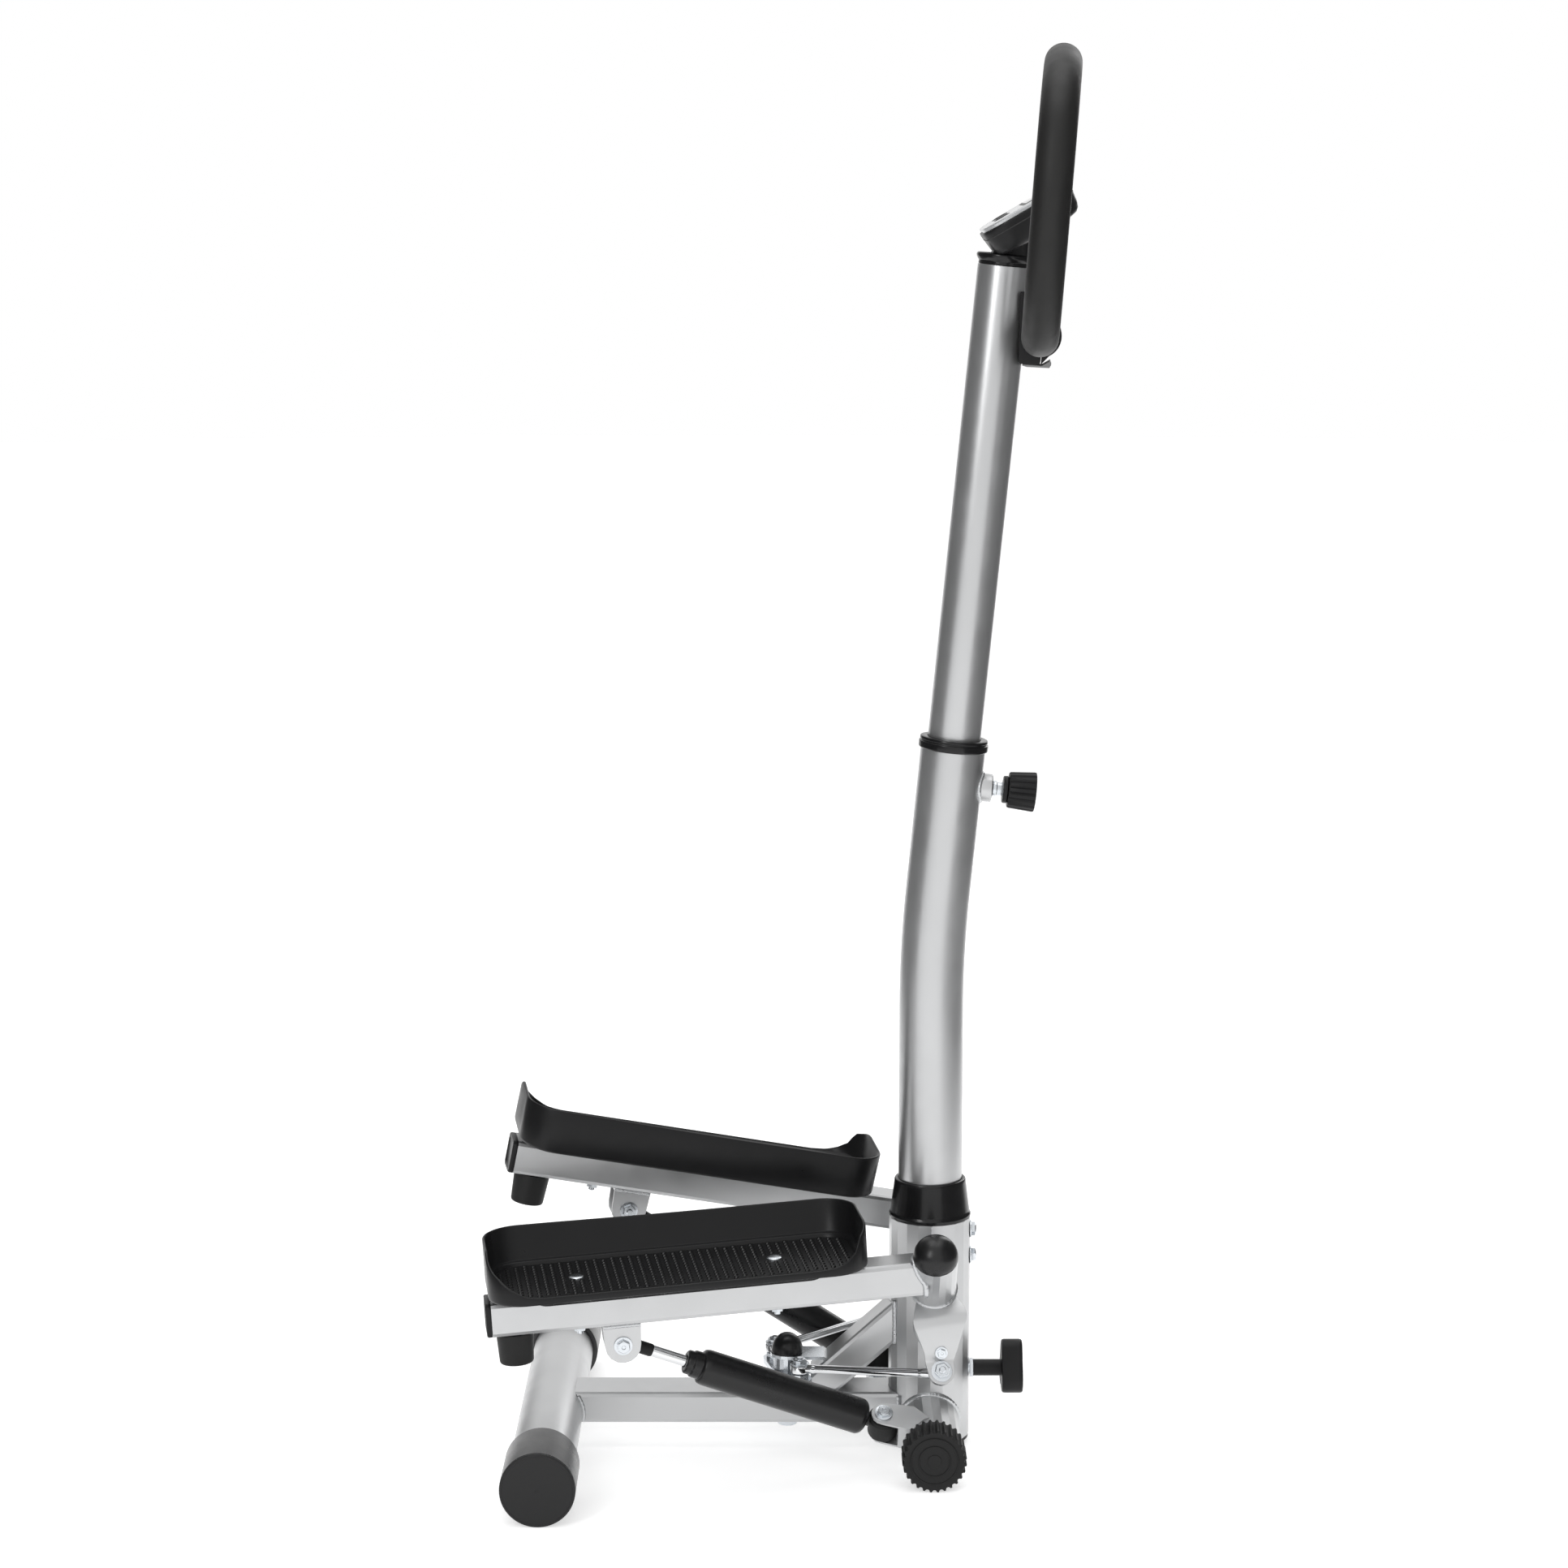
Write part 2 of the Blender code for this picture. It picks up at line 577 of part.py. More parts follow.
# ---------------------------------------------------------------- handlebar

def handle_outline():
    """Half of the loop's middle line, (sideways, up), from its lowest to its highest point."""
    points = ((0, 0), (0.038, 0), (0.076, 0.0005), (0.118, 0.010), (0.158, 0.045), (0.184, 0.092), (0.194, 0.138),
              (0.184, 0.182), (0.155, 0.214), (0.110, 0.234), (0.055, 0.2425), (0, 0.2435))
    mirror = [(-y, z) for y, z in points[1:2]]
    beyond = [(-y, z) for y, z in points[-2:-1]]
    control = [Vector(p) for p in mirror + list(points) + beyond]
    steps = 2
    curve = []
    for i in range(1, len(control) - 2):
        a, b, c, d = control[i - 1:i + 3]
        for k in range(steps):
            t = k / steps
            curve.append(0.5 * (2 * b + (c - a) * t + (2 * a - 5 * b + 4 * c - d) * t ** 2
                                + (3 * b - a - 3 * c + d) * t ** 3))
    return curve + [control[-2]]


def handle_frame():
    """Local Y runs sideways, local Z up the loop and local X out of its front."""
    about_mast = Matrix.Rotation(HANDLE_YAW, 4, mast_direction())
    at_mast = MAST_VERTEX + mast_direction() * ((HANDLE_BASE - MAST_VERTEX).dot(mast_direction()))
    offset = about_mast @ (HANDLE_BASE - at_mast)
    lean = Matrix.Rotation(HANDLE_LEAN, 4, "Y")
    return Matrix.Translation(at_mast + offset) @ about_mast @ lean


def build_handlebar(mast_axis):
    """A closed steel loop, its two foam grips and the clamp that holds it on the mast."""
    frame = mast_axis.matrix_basis.inverted() @ handle_frame()
    half = handle_outline()
    normal = Vector((1, 0, 0))
    loop = [Vector((0, y, z)) for y, z in half]
    loop += [Vector((0, -y, z)) for y, z in reversed(half[1:-1])]
    mesh = swept("loop", loop, normal, (HANDLE_TUBE_RADIUS,), 10, closed=True)
    place("handlebar_tube", mesh, "silver", frame, mast_axis)
    for side, label in ((-1, "right"), (1, "left")):
        path = [Vector((0, side * GRIP_START, 0))]
        path += [Vector((0, side * y, z)) for y, z in half[:-1] if y > GRIP_START + 0.004 or z > 0.2]
        path.append(Vector((0, side * 0.0004, half[-1].y)))
        mesh = swept("grip", path, normal, (GRIP_RADIUS, GRIP_BORE), 10)
        place("handlebar_grip_" + label, mesh, "foam", frame, mast_axis)
    build_handle_clamp(mast_axis, frame)


def build_handle_clamp(mast_axis, frame):
    """A cradle that saddles the mast, and a cap that closes round the front of the loop's bare stretch."""
    half_width = 0.0225
    seam = 0.002
    reach = 0.0185
    rear = [
        (seam, -0.0285), (seam, 0.0175), (-0.006, 0.0330), (-0.0160, 0.0390), (-0.0300, 0.0390),
        (-0.0300, -0.0285), (-0.0240, -0.0305), (-0.0040, -0.0305)]
    cradle = place("handle_clamp", prism("clamp", rear, -half_width, half_width), "black_plastic",
                   frame @ along_y((0, 0, 0)), mast_axis)
    bore = rod("loop_outside", HANDLE_TUBE_RADIUS + GAP, -0.05, 0.05, 16)
    combine(cradle, bore, frame @ along((0, 0, 0), (0, 1, 0)), parent=mast_axis)
    mast = rod("mast_outside", UPPER_RADIUS + GAP, UPPER_START, UPPER_END, 32)
    combine(cradle, mast, Matrix.Identity(4), parent=mast_axis)
    front = [(seam + GAP, -0.0265)]
    for i in range(9):
        angle = math.radians(-62 + 124 * i / 8)
        front.append((0.0010 + reach * math.cos(angle), reach * 1.05 * math.sin(angle)))
    front += [(0.0050, 0.0215), (seam + GAP, 0.0215)]
    cap = place("handle_clamp_cap", prism("clamp_cap", front, -half_width, half_width), "black_plastic",
                frame @ along_y((0, 0, 0)), mast_axis)
    bore = rod("loop_outside", HANDLE_TUBE_RADIUS + GAP, -0.05, 0.05, 16)
    combine(cap, bore, frame @ along((0, 0, 0), (0, 1, 0)), parent=mast_axis)


# ---------------------------------------------------------------- pedals

def pedal_frame(side):
    """The frame that turns with a pedal; it is level when the pedals are level."""
    turn = RIGHT_TURN if side < 0 else LEFT_TURN
    return Matrix.Translation(pivot_point(side)) @ Matrix.Rotation(turn, 4, pivot_axis(side))


def arm_frame():
    """The arm's own frame inside the pedal's: local X runs along the arm to the front."""
    return Matrix.Rotation(PITCH, 4, "Y")


def build_pedal_arm(side, label, axis):
    """A rectangular tube welded to the sleeve that turns on the tilted shaft."""
    mesh = square_tube("arm", ARM_WIDTH, ARM_HEIGHT, ARM_REAR, -0.012)
    arm = place("pedal_arm_" + label, mesh, "silver", arm_frame() @ along_x((0, 0, 0)), axis)
    upright = along((0, 0, 0), pivot_axis(side))
    combine(arm, rod("sleeve", SLEEVE_RADIUS, SLEEVE_LOW, SLEEVE_HIGH), upright, "UNION", axis)
    combine(arm, rod("bore", SLEEVE_BORE, SLEEVE_LOW - 0.02, SLEEVE_HIGH + 0.02), upright, parent=axis)
    dome = [
        (SLEEVE_RADIUS - 0.0004, SLEEVE_HIGH + GAP), (SLEEVE_RADIUS - 0.0004, SLEEVE_HIGH + 0.0022),
        (0.0198, SLEEVE_HIGH + 0.0050), (0.0165, SLEEVE_HIGH + 0.0100), (0.0112, SLEEVE_HIGH + 0.0140),
        (0.0055, SLEEVE_HIGH + 0.0160), (0, SLEEVE_HIGH + 0.0165)]
    place("pivot_cap_" + label, turned("cap", dome), "gloss_black", upright, axis)
    plug_wide = rounded_rectangle(ARM_WIDTH, ARM_HEIGHT, 0.004)
    plug = place("arm_plug_" + label, prism("plug", plug_wide, ARM_REAR - 0.0050, ARM_REAR - GAP),
                 "black_plastic", arm_frame() @ along_x((0, 0, 0)), axis)
    neck = rounded_rectangle(ARM_WIDTH - 0.0048, ARM_HEIGHT - 0.0048, 0.002)
    neck_mesh = prism("plug_neck", neck, ARM_REAR - 0.002, ARM_REAR + 0.012)
    combine(plug, neck_mesh, arm_frame() @ along_x((0, 0, 0)), "UNION", axis)
    under = -ARM_HEIGHT / 2 - GAP
    foot = [(0.0150, under - FOOT_HEIGHT), (0.0160, under - FOOT_HEIGHT + 0.0015), (0.0172, under)]
    place("rubber_foot_" + label, turned("foot", foot), "rubber",
          arm_frame() @ Matrix.Translation((FOOT_X, 0, 0)), axis)


def build_clevis(side, label, axis):
    """The fork under the arm that takes the end of the piston rod, and its bolt."""
    under = -ARM_HEIGHT / 2 - GAP
    ear_radius = 0.0165
    outline = [(-0.0175, under), (-0.0165, -CLEVIS_DROP)]
    for i in range(1, 8):
        angle = math.pi + math.pi * i / 8
        outline.append((ear_radius * math.cos(angle), -CLEVIS_DROP + ear_radius * math.sin(angle)))
    outline += [(0.0165, -CLEVIS_DROP), (0.0175, under)]
    spot = arm_frame() @ Matrix.Translation((CLEVIS_X, 0, 0))
    outside = CLEVIS_GAP + CLEVIS_EAR
    clevis = place("clevis_" + label, prism("clevis", outline, -outside, outside), "silver",
                   spot @ along_y((0, 0, 0)), axis)
    slot = rounded_rectangle(0.06, 0.06, 0.001, 1)
    gap_matrix = spot @ along_y((0, 0, under - 0.0030 - 0.030))
    combine(clevis, prism("clevis_slot", slot, -CLEVIS_GAP, CLEVIS_GAP), gap_matrix, parent=axis)
    pin = spot @ along((0, 0, -CLEVIS_DROP), (0, side, 0))
    combine(clevis, rod("pin_hole", 0.0043, -0.03, 0.03, SMALL_ROUND), pin, parent=axis)
    head = outside + GAP
    profile = [
        (0.0070, -head - 0.0050), (0.0070, -head), (0.0040, -head), (0.0040, head),
        (0.0085, head), (0.0085, head + 0.0045)]
    place("clevis_bolt_" + label, turned("bolt", profile, SMALL_ROUND), "zinc", pin, axis)


def build_link_bracket(side, label, axis):
    """A bent plate from the sleeve's lower end down to the lug of the tie rod, with the lug's bolt."""
    down = Vector((0, math.cos(PIVOT_TILT), -math.sin(PIVOT_TILT)))
    rim = Vector((0, math.sin(PIVOT_TILT), math.cos(PIVOT_TILT))) * (SLEEVE_LOW - 0.0024)
    lug_normal = Vector((0, math.cos(LUG_TILT), math.sin(LUG_TILT)))
    lug_down = Vector((0, math.sin(LUG_TILT), -math.cos(LUG_TILT)))
    lug = LUG + lug_normal * 0.010
    stations = [
        (rim + down * 0.0170, 0.0185), (rim + down * 0.0245, 0.0245),
        (Vector((-0.0010, 0.0050, -0.0455)), 0.0255), (Vector((-0.0020, 0.0066, -0.0560)), 0.0215),
        (Vector((-0.0035, 0.0070, -0.0720)), 0.0160), (lug - lug_down * 0.0100, 0.0140), (lug, 0.0125)]
    for i in range(1, 5):
        angle = math.pi / 2 * i / 4.6
        stations.append((lug + lug_down * 0.0125 * math.sin(angle), 0.0125 * math.cos(angle)))
    bm = bmesh.new()
    rows = []
    thickness = 0.004
    for i, (point, half_width) in enumerate(stations):
        after = stations[min(i + 1, len(stations) - 1)][0]
        before = stations[max(i - 1, 0)][0]
        along_plate = (after - before)
        along_plate.x = 0
        out = Vector((1, 0, 0)).cross(along_plate).normalized() * thickness / 2
        corners = [point + out, point - out]
        row = []
        for corner, sign in zip((corners[0], corners[0], corners[1], corners[1]), (-1, 1, 1, -1)):
            row.append(bm.verts.new((corner.x + sign * half_width, side * corner.y, corner.z)))
        rows.append(row)
    for low, high in zip(rows, rows[1:]):
        for i in range(4):
            j = (i + 1) % 4
            bm.faces.new((low[i], low[j], high[j], high[i]))
    bm.faces.new(rows[0])
    bm.faces.new(rows[-1])
    bracket = place("link_bracket_" + label, finished_mesh("bracket", bm), "silver", parent=axis)
    lug_axis = Vector((0, side * lug_normal.y, lug_normal.z))
    centre = Vector((lug.x, side * lug.y, lug.z))
    profile = [
        (0.0028, -0.0150), (0.0032, -0.0140), (0.0032, -0.0010), (0.0095, -0.0008), (0.0095, 0.0034),
        (0.0070, 0.0036), (0.0070, 0.0075), (0.0040, 0.0077), (0.0040, 0.0100)]
    mesh = turned("lug_bolt", profile, SMALL_ROUND)
    combine(bracket, mesh, along(centre, lug_axis), "UNION", axis)


def rim_height(x, y, side):
    """Height of the footplate's rim above a point of its outline: high inside and at both ends."""
    outward = side * y / PLATE_HALF_WIDTH
    rear = x - PLATE_REAR
    front = PLATE_FRONT - x
    to_end = min(rear, front)
    end_height = PLATE_HIGH if outward < 0 else PLATE_HIGH - (PLATE_HIGH - PLATE_CORNER) * outward
    if outward < 0.5:
        return end_height
    slope = (to_end - 0.010) / 0.036
    drop = min(max(slope, 0), 1)
    return end_height + (PLATE_FLOOR + 0.0005 - end_height) * drop


def plate_outline(inset):
    """The footplate's outline, its corners well rounded, with a station at each end of its low lip."""
    length = PLATE_FRONT - PLATE_REAR - 2 * inset
    width = 2 * (PLATE_HALF_WIDTH - inset)
    middle = (PLATE_FRONT + PLATE_REAR) / 2
    corners = rounded_rectangle(length, width, 0.034 - inset, 5)
    points = []
    for i, (x, y) in enumerate(corners):
        points.append((x + middle, y))
        after = corners[(i + 1) % len(corners)]
        if abs(after[0] - x) > 0.1:
            sign = 1 if after[0] > x else -1
            half = length / 2
            for k in (half - 0.041, half - 0.046, half - 0.056, 0.0):
                points.append((middle - sign * k, y))
            for k in (half - 0.056, half - 0.046, half - 0.041):
                points.append((middle + sign * k, y))
    return points


def build_footplate(side, label, axis):
    """A moulded tray on the arm: high inner wall and ends, and a low lip where the foot steps on."""
    bm = bmesh.new()
    outer = plate_outline(0.0)
    inner = plate_outline(PLATE_WALL)
    rings = [
        [bm.verts.new((x * 0.998 - 0.0005, y * 0.985, PLATE_UNDER)) for x, y in outer],
        [bm.verts.new((x, y, rim_height(x, y, side))) for x, y in outer]]
    tops = [rim_height(x, y, side) for x, y in outer]
    rings.append([bm.verts.new((x, y, z)) for (x, y), z in zip(inner, tops)])
    floors = [min(PLATE_FLOOR, z - 0.0004) for z in tops]
    rings.append([bm.verts.new((x, y * 0.985, z)) for (x, y), z in zip(inner, floors)])
    count = len(outer)
    for low, high in zip(rings, rings[1:]):
        for i in range(count):
            j = (i + 1) % count
            bm.faces.new((low[i], low[j], high[j], high[i]))
    bm.faces.new(rings[0])
    bm.faces.new(rings[-1])
    plate = place("footplate_" + label, finished_mesh("plate", bm), "black_plastic", arm_frame(), axis)
    length = PLATE_BASE_FRONT - PLATE_BASE_REAR
    base_outline = rounded_rectangle(length, 2 * PLATE_BASE_HALF_WIDTH, 0.008)
    base = prism("plate_base", base_outline, ARM_HEIGHT / 2 + GAP, PLATE_UNDER + 0.002)
    middle = (PLATE_BASE_FRONT + PLATE_BASE_REAR) / 2
    combine(plate, base, arm_frame() @ Matrix.Translation((middle, 0, 0)), "UNION", axis)


def build_pedals():
    for side, label in ((-1, "right"), (1, "left")):
        axis = pivot("%s_pedal_axis" % label, pedal_frame(side))
        build_pedal_arm(side, label, axis)
        build_clevis(side, label, axis)
        build_link_bracket(side, label, axis)
        build_footplate(side, label, axis)


# ---------------------------------------------------------------- rocker link

def rocker_end(side):
    """World position of the rocker's end bolt at the tie rod's height."""
    reach = Vector((0, side * ROCKER_REACH, 0))
    return Vector((ROCKER_X, 0, ROD_Z)) + Matrix.Rotation(ROCKER_TURN, 4, "Z") @ reach


def lug_point(side):
    """World position of the tie rod's eye at the pedal's lug."""
    return pedal_frame(side) @ Vector((LUG.x, side * LUG.y, LUG.z))


def build_rocker():
    """The plate that makes one pedal rise as the other sinks, on a bolt through the beam."""
    bolt = [
        (0.0090, 0.0158), (0.0095, 0.0165), (0.0095, BEAM_BOTTOM - GAP), (0.0050, BEAM_BOTTOM - GAP),
        (0.0050, BEAM_TOP + GAP), (0.0090, BEAM_TOP + GAP), (0.0090, ROCKER_PLATE_Z - GAP),
        (0.0050, ROCKER_PLATE_Z - GAP), (0.0050, 0.0870)]
    place("rocker_bolt", turned("bolt", bolt, 16), "zinc", Matrix.Translation((ROCKER_X, 0, 0)))
    top = SUPPORT_BAR_Z + SUPPORT_BAR_THICKNESS + GAP
    dome = [(0.0150, top), (0.0150, top + 0.0015), (0.0143, top + 0.0060), (0.0115, top + 0.0110),
            (0.0070, top + 0.0142), (0, top + 0.0155)]
    place("rocker_cap", turned("dome", dome), "black_plastic", Matrix.Translation((ROCKER_X, 0, 0)))
    outline = [(0.0375, -SUPPORT_BAR_HALF_WIDTH), (0.0375, SUPPORT_BAR_HALF_WIDTH)]
    for i in range(9):
        angle = math.pi / 2 + math.pi * i / 8
        outline.append((ROCKER_X + SUPPORT_BAR_HALF_WIDTH * math.cos(angle),
                        SUPPORT_BAR_HALF_WIDTH * math.sin(angle)))
    bar = place("rocker_support_bar",
                prism("bar", outline, SUPPORT_BAR_Z, SUPPORT_BAR_Z + SUPPORT_BAR_THICKNESS), "zinc")
    hole = rod("bolt_hole", 0.0056, 0.07, 0.10, SMALL_ROUND)
    combine(bar, hole, Matrix.Translation((ROCKER_X, 0, 0)))
    axis_matrix = Matrix.Translation((ROCKER_X, 0, 0)) @ Matrix.Rotation(ROCKER_TURN, 4, "Z")
    axis = pivot("rocker_axis", axis_matrix)
    outline = []
    for side in (1, -1):
        for i in range(7):
            angle = math.pi / 2 * (side - 1) + math.pi * i / 6
            outline.append((0.0115 * math.cos(angle), side * ROCKER_REACH + 0.0115 * math.sin(angle)))
        outline.append((-side * 0.0145, side * 0.006))
        outline.append((-side * 0.0145, -side * 0.006))
    plate_top = ROCKER_PLATE_Z + ROCKER_PLATE_THICKNESS
    rocker = place("rocker_plate", prism("rocker", outline, ROCKER_PLATE_Z, plate_top), "zinc", parent=axis)
    hub = rod("hub", 0.0130, ROCKER_PLATE_Z + 0.001, SUPPORT_BAR_Z - GAP, 20)
    combine(rocker, hub, Matrix.Identity(4), "UNION", axis)
    combine(rocker, rod("hub_bore", 0.0054, 0.05, 0.10, 16), Matrix.Identity(4), parent=axis)
    for side in (-1, 1):
        profile = [
            (0.0040, ROCKER_PLATE_Z - 0.0050), (0.0040, ROCKER_PLATE_Z + 0.0010), (0.0085, plate_top - 0.001),
            (0.0085, ROD_Z - 0.0048), (0.0040, ROD_Z - 0.0047), (0.0040, ROD_Z + 0.0049),
            (0.0068, ROD_Z + 0.0050), (0.0068, ROD_Z + 0.0085)]
        mesh = turned("end_bolt", profile, SMALL_ROUND)
        spot = Matrix.Translation((0, side * ROCKER_REACH, 0))
        combine(rocker, mesh, spot, "UNION", axis)
    return axis


def build_tie_rods(rocker_axis):
    """Each rod joins a rocker end to a pedal's lug; its eye hangs loose on the lug's bolt."""
    for side, label in ((-1, "right"), (1, "left")):
        start = rocker_end(side)
        end = lug_point(side)
        direction = (end - start).normalized()
        length = (end - start).length
        to_rocker = rocker_axis.matrix_basis.inverted()
        axis = pivot("tie_rod_%s_axis" % label, to_rocker @ Matrix.Translation(start), rocker_axis)
        mesh = rod("tie_rod", TIE_ROD_RADIUS, 0.0085, length - 0.0085, SMALL_ROUND)
        piece = place("tie_rod_" + label, mesh, "chrome", along((0, 0, 0), direction), axis)
        combine(piece, rod("rocker_eye", 0.0092, -0.0043, 0.0043, 16), Matrix.Identity(4), "UNION", axis)
        turn = RIGHT_TURN if side < 0 else LEFT_TURN
        lug_axis = Matrix.Rotation(turn, 3, pivot_axis(side)) @ Vector(
            (0, side * math.cos(LUG_TILT), math.sin(LUG_TILT)))
        lug_matrix = along(end - start, lug_axis)
        combine(piece, rod("lug_eye", 0.0108, -0.0040, 0.0040, 16), lug_matrix, "UNION", axis)
        combine(piece, rod("bolt_hole", 0.0043, -0.01, 0.01, SMALL_ROUND), Matrix.Identity(4), parent=axis)
        combine(piece, rod("lug_hole", 0.0070, -0.01, 0.01, 16), lug_matrix, parent=axis)


# ---------------------------------------------------------------- cylinders

def build_cylinder_bracket(side, label, point, axis_out):
    """Two ears on the back of the front stabilizer, square to the cylinder's hinge, and their bolt.

    Their upper corner stops short, where it would pass over the tube.
    """
    hinge = axis_out
    to_tube = (Vector((MAST_X, point.y, FRONT_Z)) - point)
    forward = (to_tube - hinge * to_tube.dot(hinge)).normalized()
    upward = hinge.cross(forward)
    frame = Matrix.Translation(point) @ Matrix((forward, upward, hinge)).transposed().to_4x4()
    outline = []
    for i in range(9):
        angle = math.pi / 2 + math.pi * i / 8
        outline.append((0.0115 * math.cos(angle), 0.0115 * math.sin(angle)))
    outline += [(0.050, -0.0140), (0.050, 0), (0.026, 0.0140)]
    if side > 0:
        outline = [(x, -y) for x, y in reversed(outline)]
    inner = 0.0132
    thickness = 0.0025
    bracket = place("cylinder_bracket_" + label,
                    prism("bracket", outline, -inner - thickness, inner + thickness), "silver", frame)
    slot = rounded_rectangle(0.080, 0.080, 0.001, 1)
    combine(bracket, prism("bracket_slot", slot, -inner, inner), frame @ Matrix.Translation((-0.0235, 0, 0)))
    tube = rod("front_tube_outside", FRONT_RADIUS + GAP, -0.2, 0.2)
    combine(bracket, tube, along((MAST_X, 0, FRONT_Z), (0, 1, 0)))
    combine(bracket, rod("bolt_hole", 0.0043, -0.03, 0.03, SMALL_ROUND), frame)
    head = inner + thickness + GAP
    profile = [
        (0.0070, -head - 0.0040), (0.0070, -head), (0.0040, -head), (0.0040, head),
        (0.0080, head), (0.0080, head + 0.0035)]
    place("cylinder_bolt_" + label, turned("bolt", profile, SMALL_ROUND), "zinc", frame)


def build_cylinders():
    """Each cylinder swings on its bracket; its piston rod slides out to the arm's clevis."""
    for side, label in ((-1, "right"), (1, "left")):
        point = Vector((CYLINDER_PIVOT.x, side * CYLINDER_PIVOT.y, CYLINDER_PIVOT.z))
        hinge = Vector((CYLINDER_AXIS.x, side * CYLINDER_AXIS.y, CYLINDER_AXIS.z))
        build_cylinder_bracket(side, label, point, hinge)
        clevis = pedal_frame(side) @ arm_frame() @ Vector((CLEVIS_X, 0, -CLEVIS_DROP))
        direction = (clevis - point).normalized()
        length = (clevis - point).length
        axis = pivot("cylinder_%s_axis" % label, Matrix.Translation(point))
        barrel = [
            (0.0105, 0.0175), (0.0150, CYLINDER_START), (CYLINDER_RADIUS, CYLINDER_START + 0.0025),
            (CYLINDER_RADIUS, CYLINDER_END - 0.0040), (0.0150, CYLINDER_END), (0.0125, CYLINDER_END + 0.0010),
            (0.0125, CYLINDER_NECK_END - 0.0020), (0.0105, CYLINDER_NECK_END)]
        body = place("cylinder_" + label, turned("cylinder", barrel, 20), "gloss_black",
                     along((0, 0, 0), direction), axis)
        eye = along((0, 0, 0), hinge)
        combine(body, rod("eye", 0.0108, -0.0120, 0.0120, 20), eye, "UNION", axis)
        link = rod("eye_neck", 0.0072, 0.0050, 0.0210, SMALL_ROUND)
        combine(body, link, along((0, 0, 0), direction), "UNION", axis)
        combine(body, rod("eye_bore", 0.0044, -0.02, 0.02, SMALL_ROUND), eye, parent=axis)
        bore = rod("piston_bore", PISTON_RADIUS + 0.0005, 0.128, CYLINDER_NECK_END + 0.01, 16)
        combine(body, bore, along((0, 0, 0), direction), parent=axis)
        slide = pivot("piston_%s_axis" % label, along(clevis - point, direction), axis)
        mesh = rod("piston", PISTON_RADIUS, -PISTON_LENGTH, -0.0085, SMALL_ROUND)
        piston = place("piston_rod_" + label, mesh, "chrome", parent=slide)
        combine(piston, rod("rod_end", 0.0070, -0.0270, -0.0070, SMALL_ROUND), Matrix.Identity(4), "UNION", slide)
        across = pedal_frame(side).to_3x3() @ Vector((0, 1, 0))
        across = slide.matrix_basis.to_3x3().inverted() @ across
        pin = along((0, 0, 0), across)
        combine(piston, rod("clevis_eye", 0.0112, -0.0065, 0.0065, 20), pin, "UNION", slide)
        combine(piston, rod("eye_hole", 0.0076, -0.02, 0.02, 16), pin, parent=slide)


# ---------------------------------------------------------------- assembly

def main():
    for item in list(bpy.data.objects):
        bpy.data.objects.remove(item, do_unlink=True)
    build_main_beam()
    build_support_strut()
    build_rear_stabilizer()
    build_front_stabilizer()
    build_base_post()
    build_mast_bushing()
    build_tension_knob()
    build_lower_mast()
    mast_axis = build_upper_mast()
    build_console(mast_axis)
    build_handlebar(mast_axis)
    build_pedals()
    rocker_axis = build_rocker()
    build_tie_rods(rocker_axis)
    build_cylinders()
    bpy.context.view_layer.update()


main()
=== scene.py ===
"""Looks for a twisting stepper: finishes, welds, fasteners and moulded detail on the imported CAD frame."""
import json
import math

import bmesh
import bpy
from mathutils import Matrix, Vector

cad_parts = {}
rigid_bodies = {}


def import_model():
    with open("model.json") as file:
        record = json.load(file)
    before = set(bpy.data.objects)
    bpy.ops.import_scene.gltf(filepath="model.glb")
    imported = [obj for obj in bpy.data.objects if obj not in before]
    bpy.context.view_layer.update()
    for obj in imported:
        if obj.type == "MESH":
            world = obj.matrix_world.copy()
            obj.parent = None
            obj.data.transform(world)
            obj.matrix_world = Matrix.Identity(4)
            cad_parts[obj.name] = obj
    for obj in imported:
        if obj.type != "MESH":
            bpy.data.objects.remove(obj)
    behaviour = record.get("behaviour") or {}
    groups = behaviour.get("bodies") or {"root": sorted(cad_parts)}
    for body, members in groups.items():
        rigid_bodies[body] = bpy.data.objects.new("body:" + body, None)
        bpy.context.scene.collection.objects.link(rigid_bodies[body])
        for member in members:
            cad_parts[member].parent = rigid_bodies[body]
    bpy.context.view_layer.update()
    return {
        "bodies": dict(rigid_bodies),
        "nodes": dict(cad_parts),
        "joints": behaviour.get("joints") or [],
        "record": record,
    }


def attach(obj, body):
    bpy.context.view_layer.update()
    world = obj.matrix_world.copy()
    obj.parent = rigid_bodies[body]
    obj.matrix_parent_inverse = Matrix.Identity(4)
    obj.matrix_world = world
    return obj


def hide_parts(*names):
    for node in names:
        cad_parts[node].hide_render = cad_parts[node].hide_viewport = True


# ---------------------------------------------------------------- dimensions, as in the CAD part

SIDES = ((-1, "right"), (1, "left"))
MAST_X = 0.1377
POST_RADIUS = 0.0385
POST_TOP = 0.2222
BEAM_TOP = 0.054
BEAM_BOTTOM = 0.024
REAR_X, REAR_Z, REAR_RADIUS = -0.2218, 0.0344, 0.0295
REAR_HALF_LENGTH = 0.232
FRONT_Z, FRONT_RADIUS = 0.0298, 0.027
FRONT_HALF_LENGTH = 0.1455
STRUT_ANGLE = math.radians(42)
STRUT_FOOT_X, STRUT_REAR = 0.0282, 0.0249
MAST_LEAN = math.radians(5.6)
MAST_VERTEX = Vector((MAST_X, 0, 0.481))
UPPER_RADIUS, UPPER_END = 0.0246, 0.637
LOWER_END = 0.190
HEIGHT_KNOB_AT = 0.157
PIVOT = Vector((0.1387, 0.095, 0.195))
PIVOT_TILT = math.radians(40.4)
PITCH = math.radians(3.2)
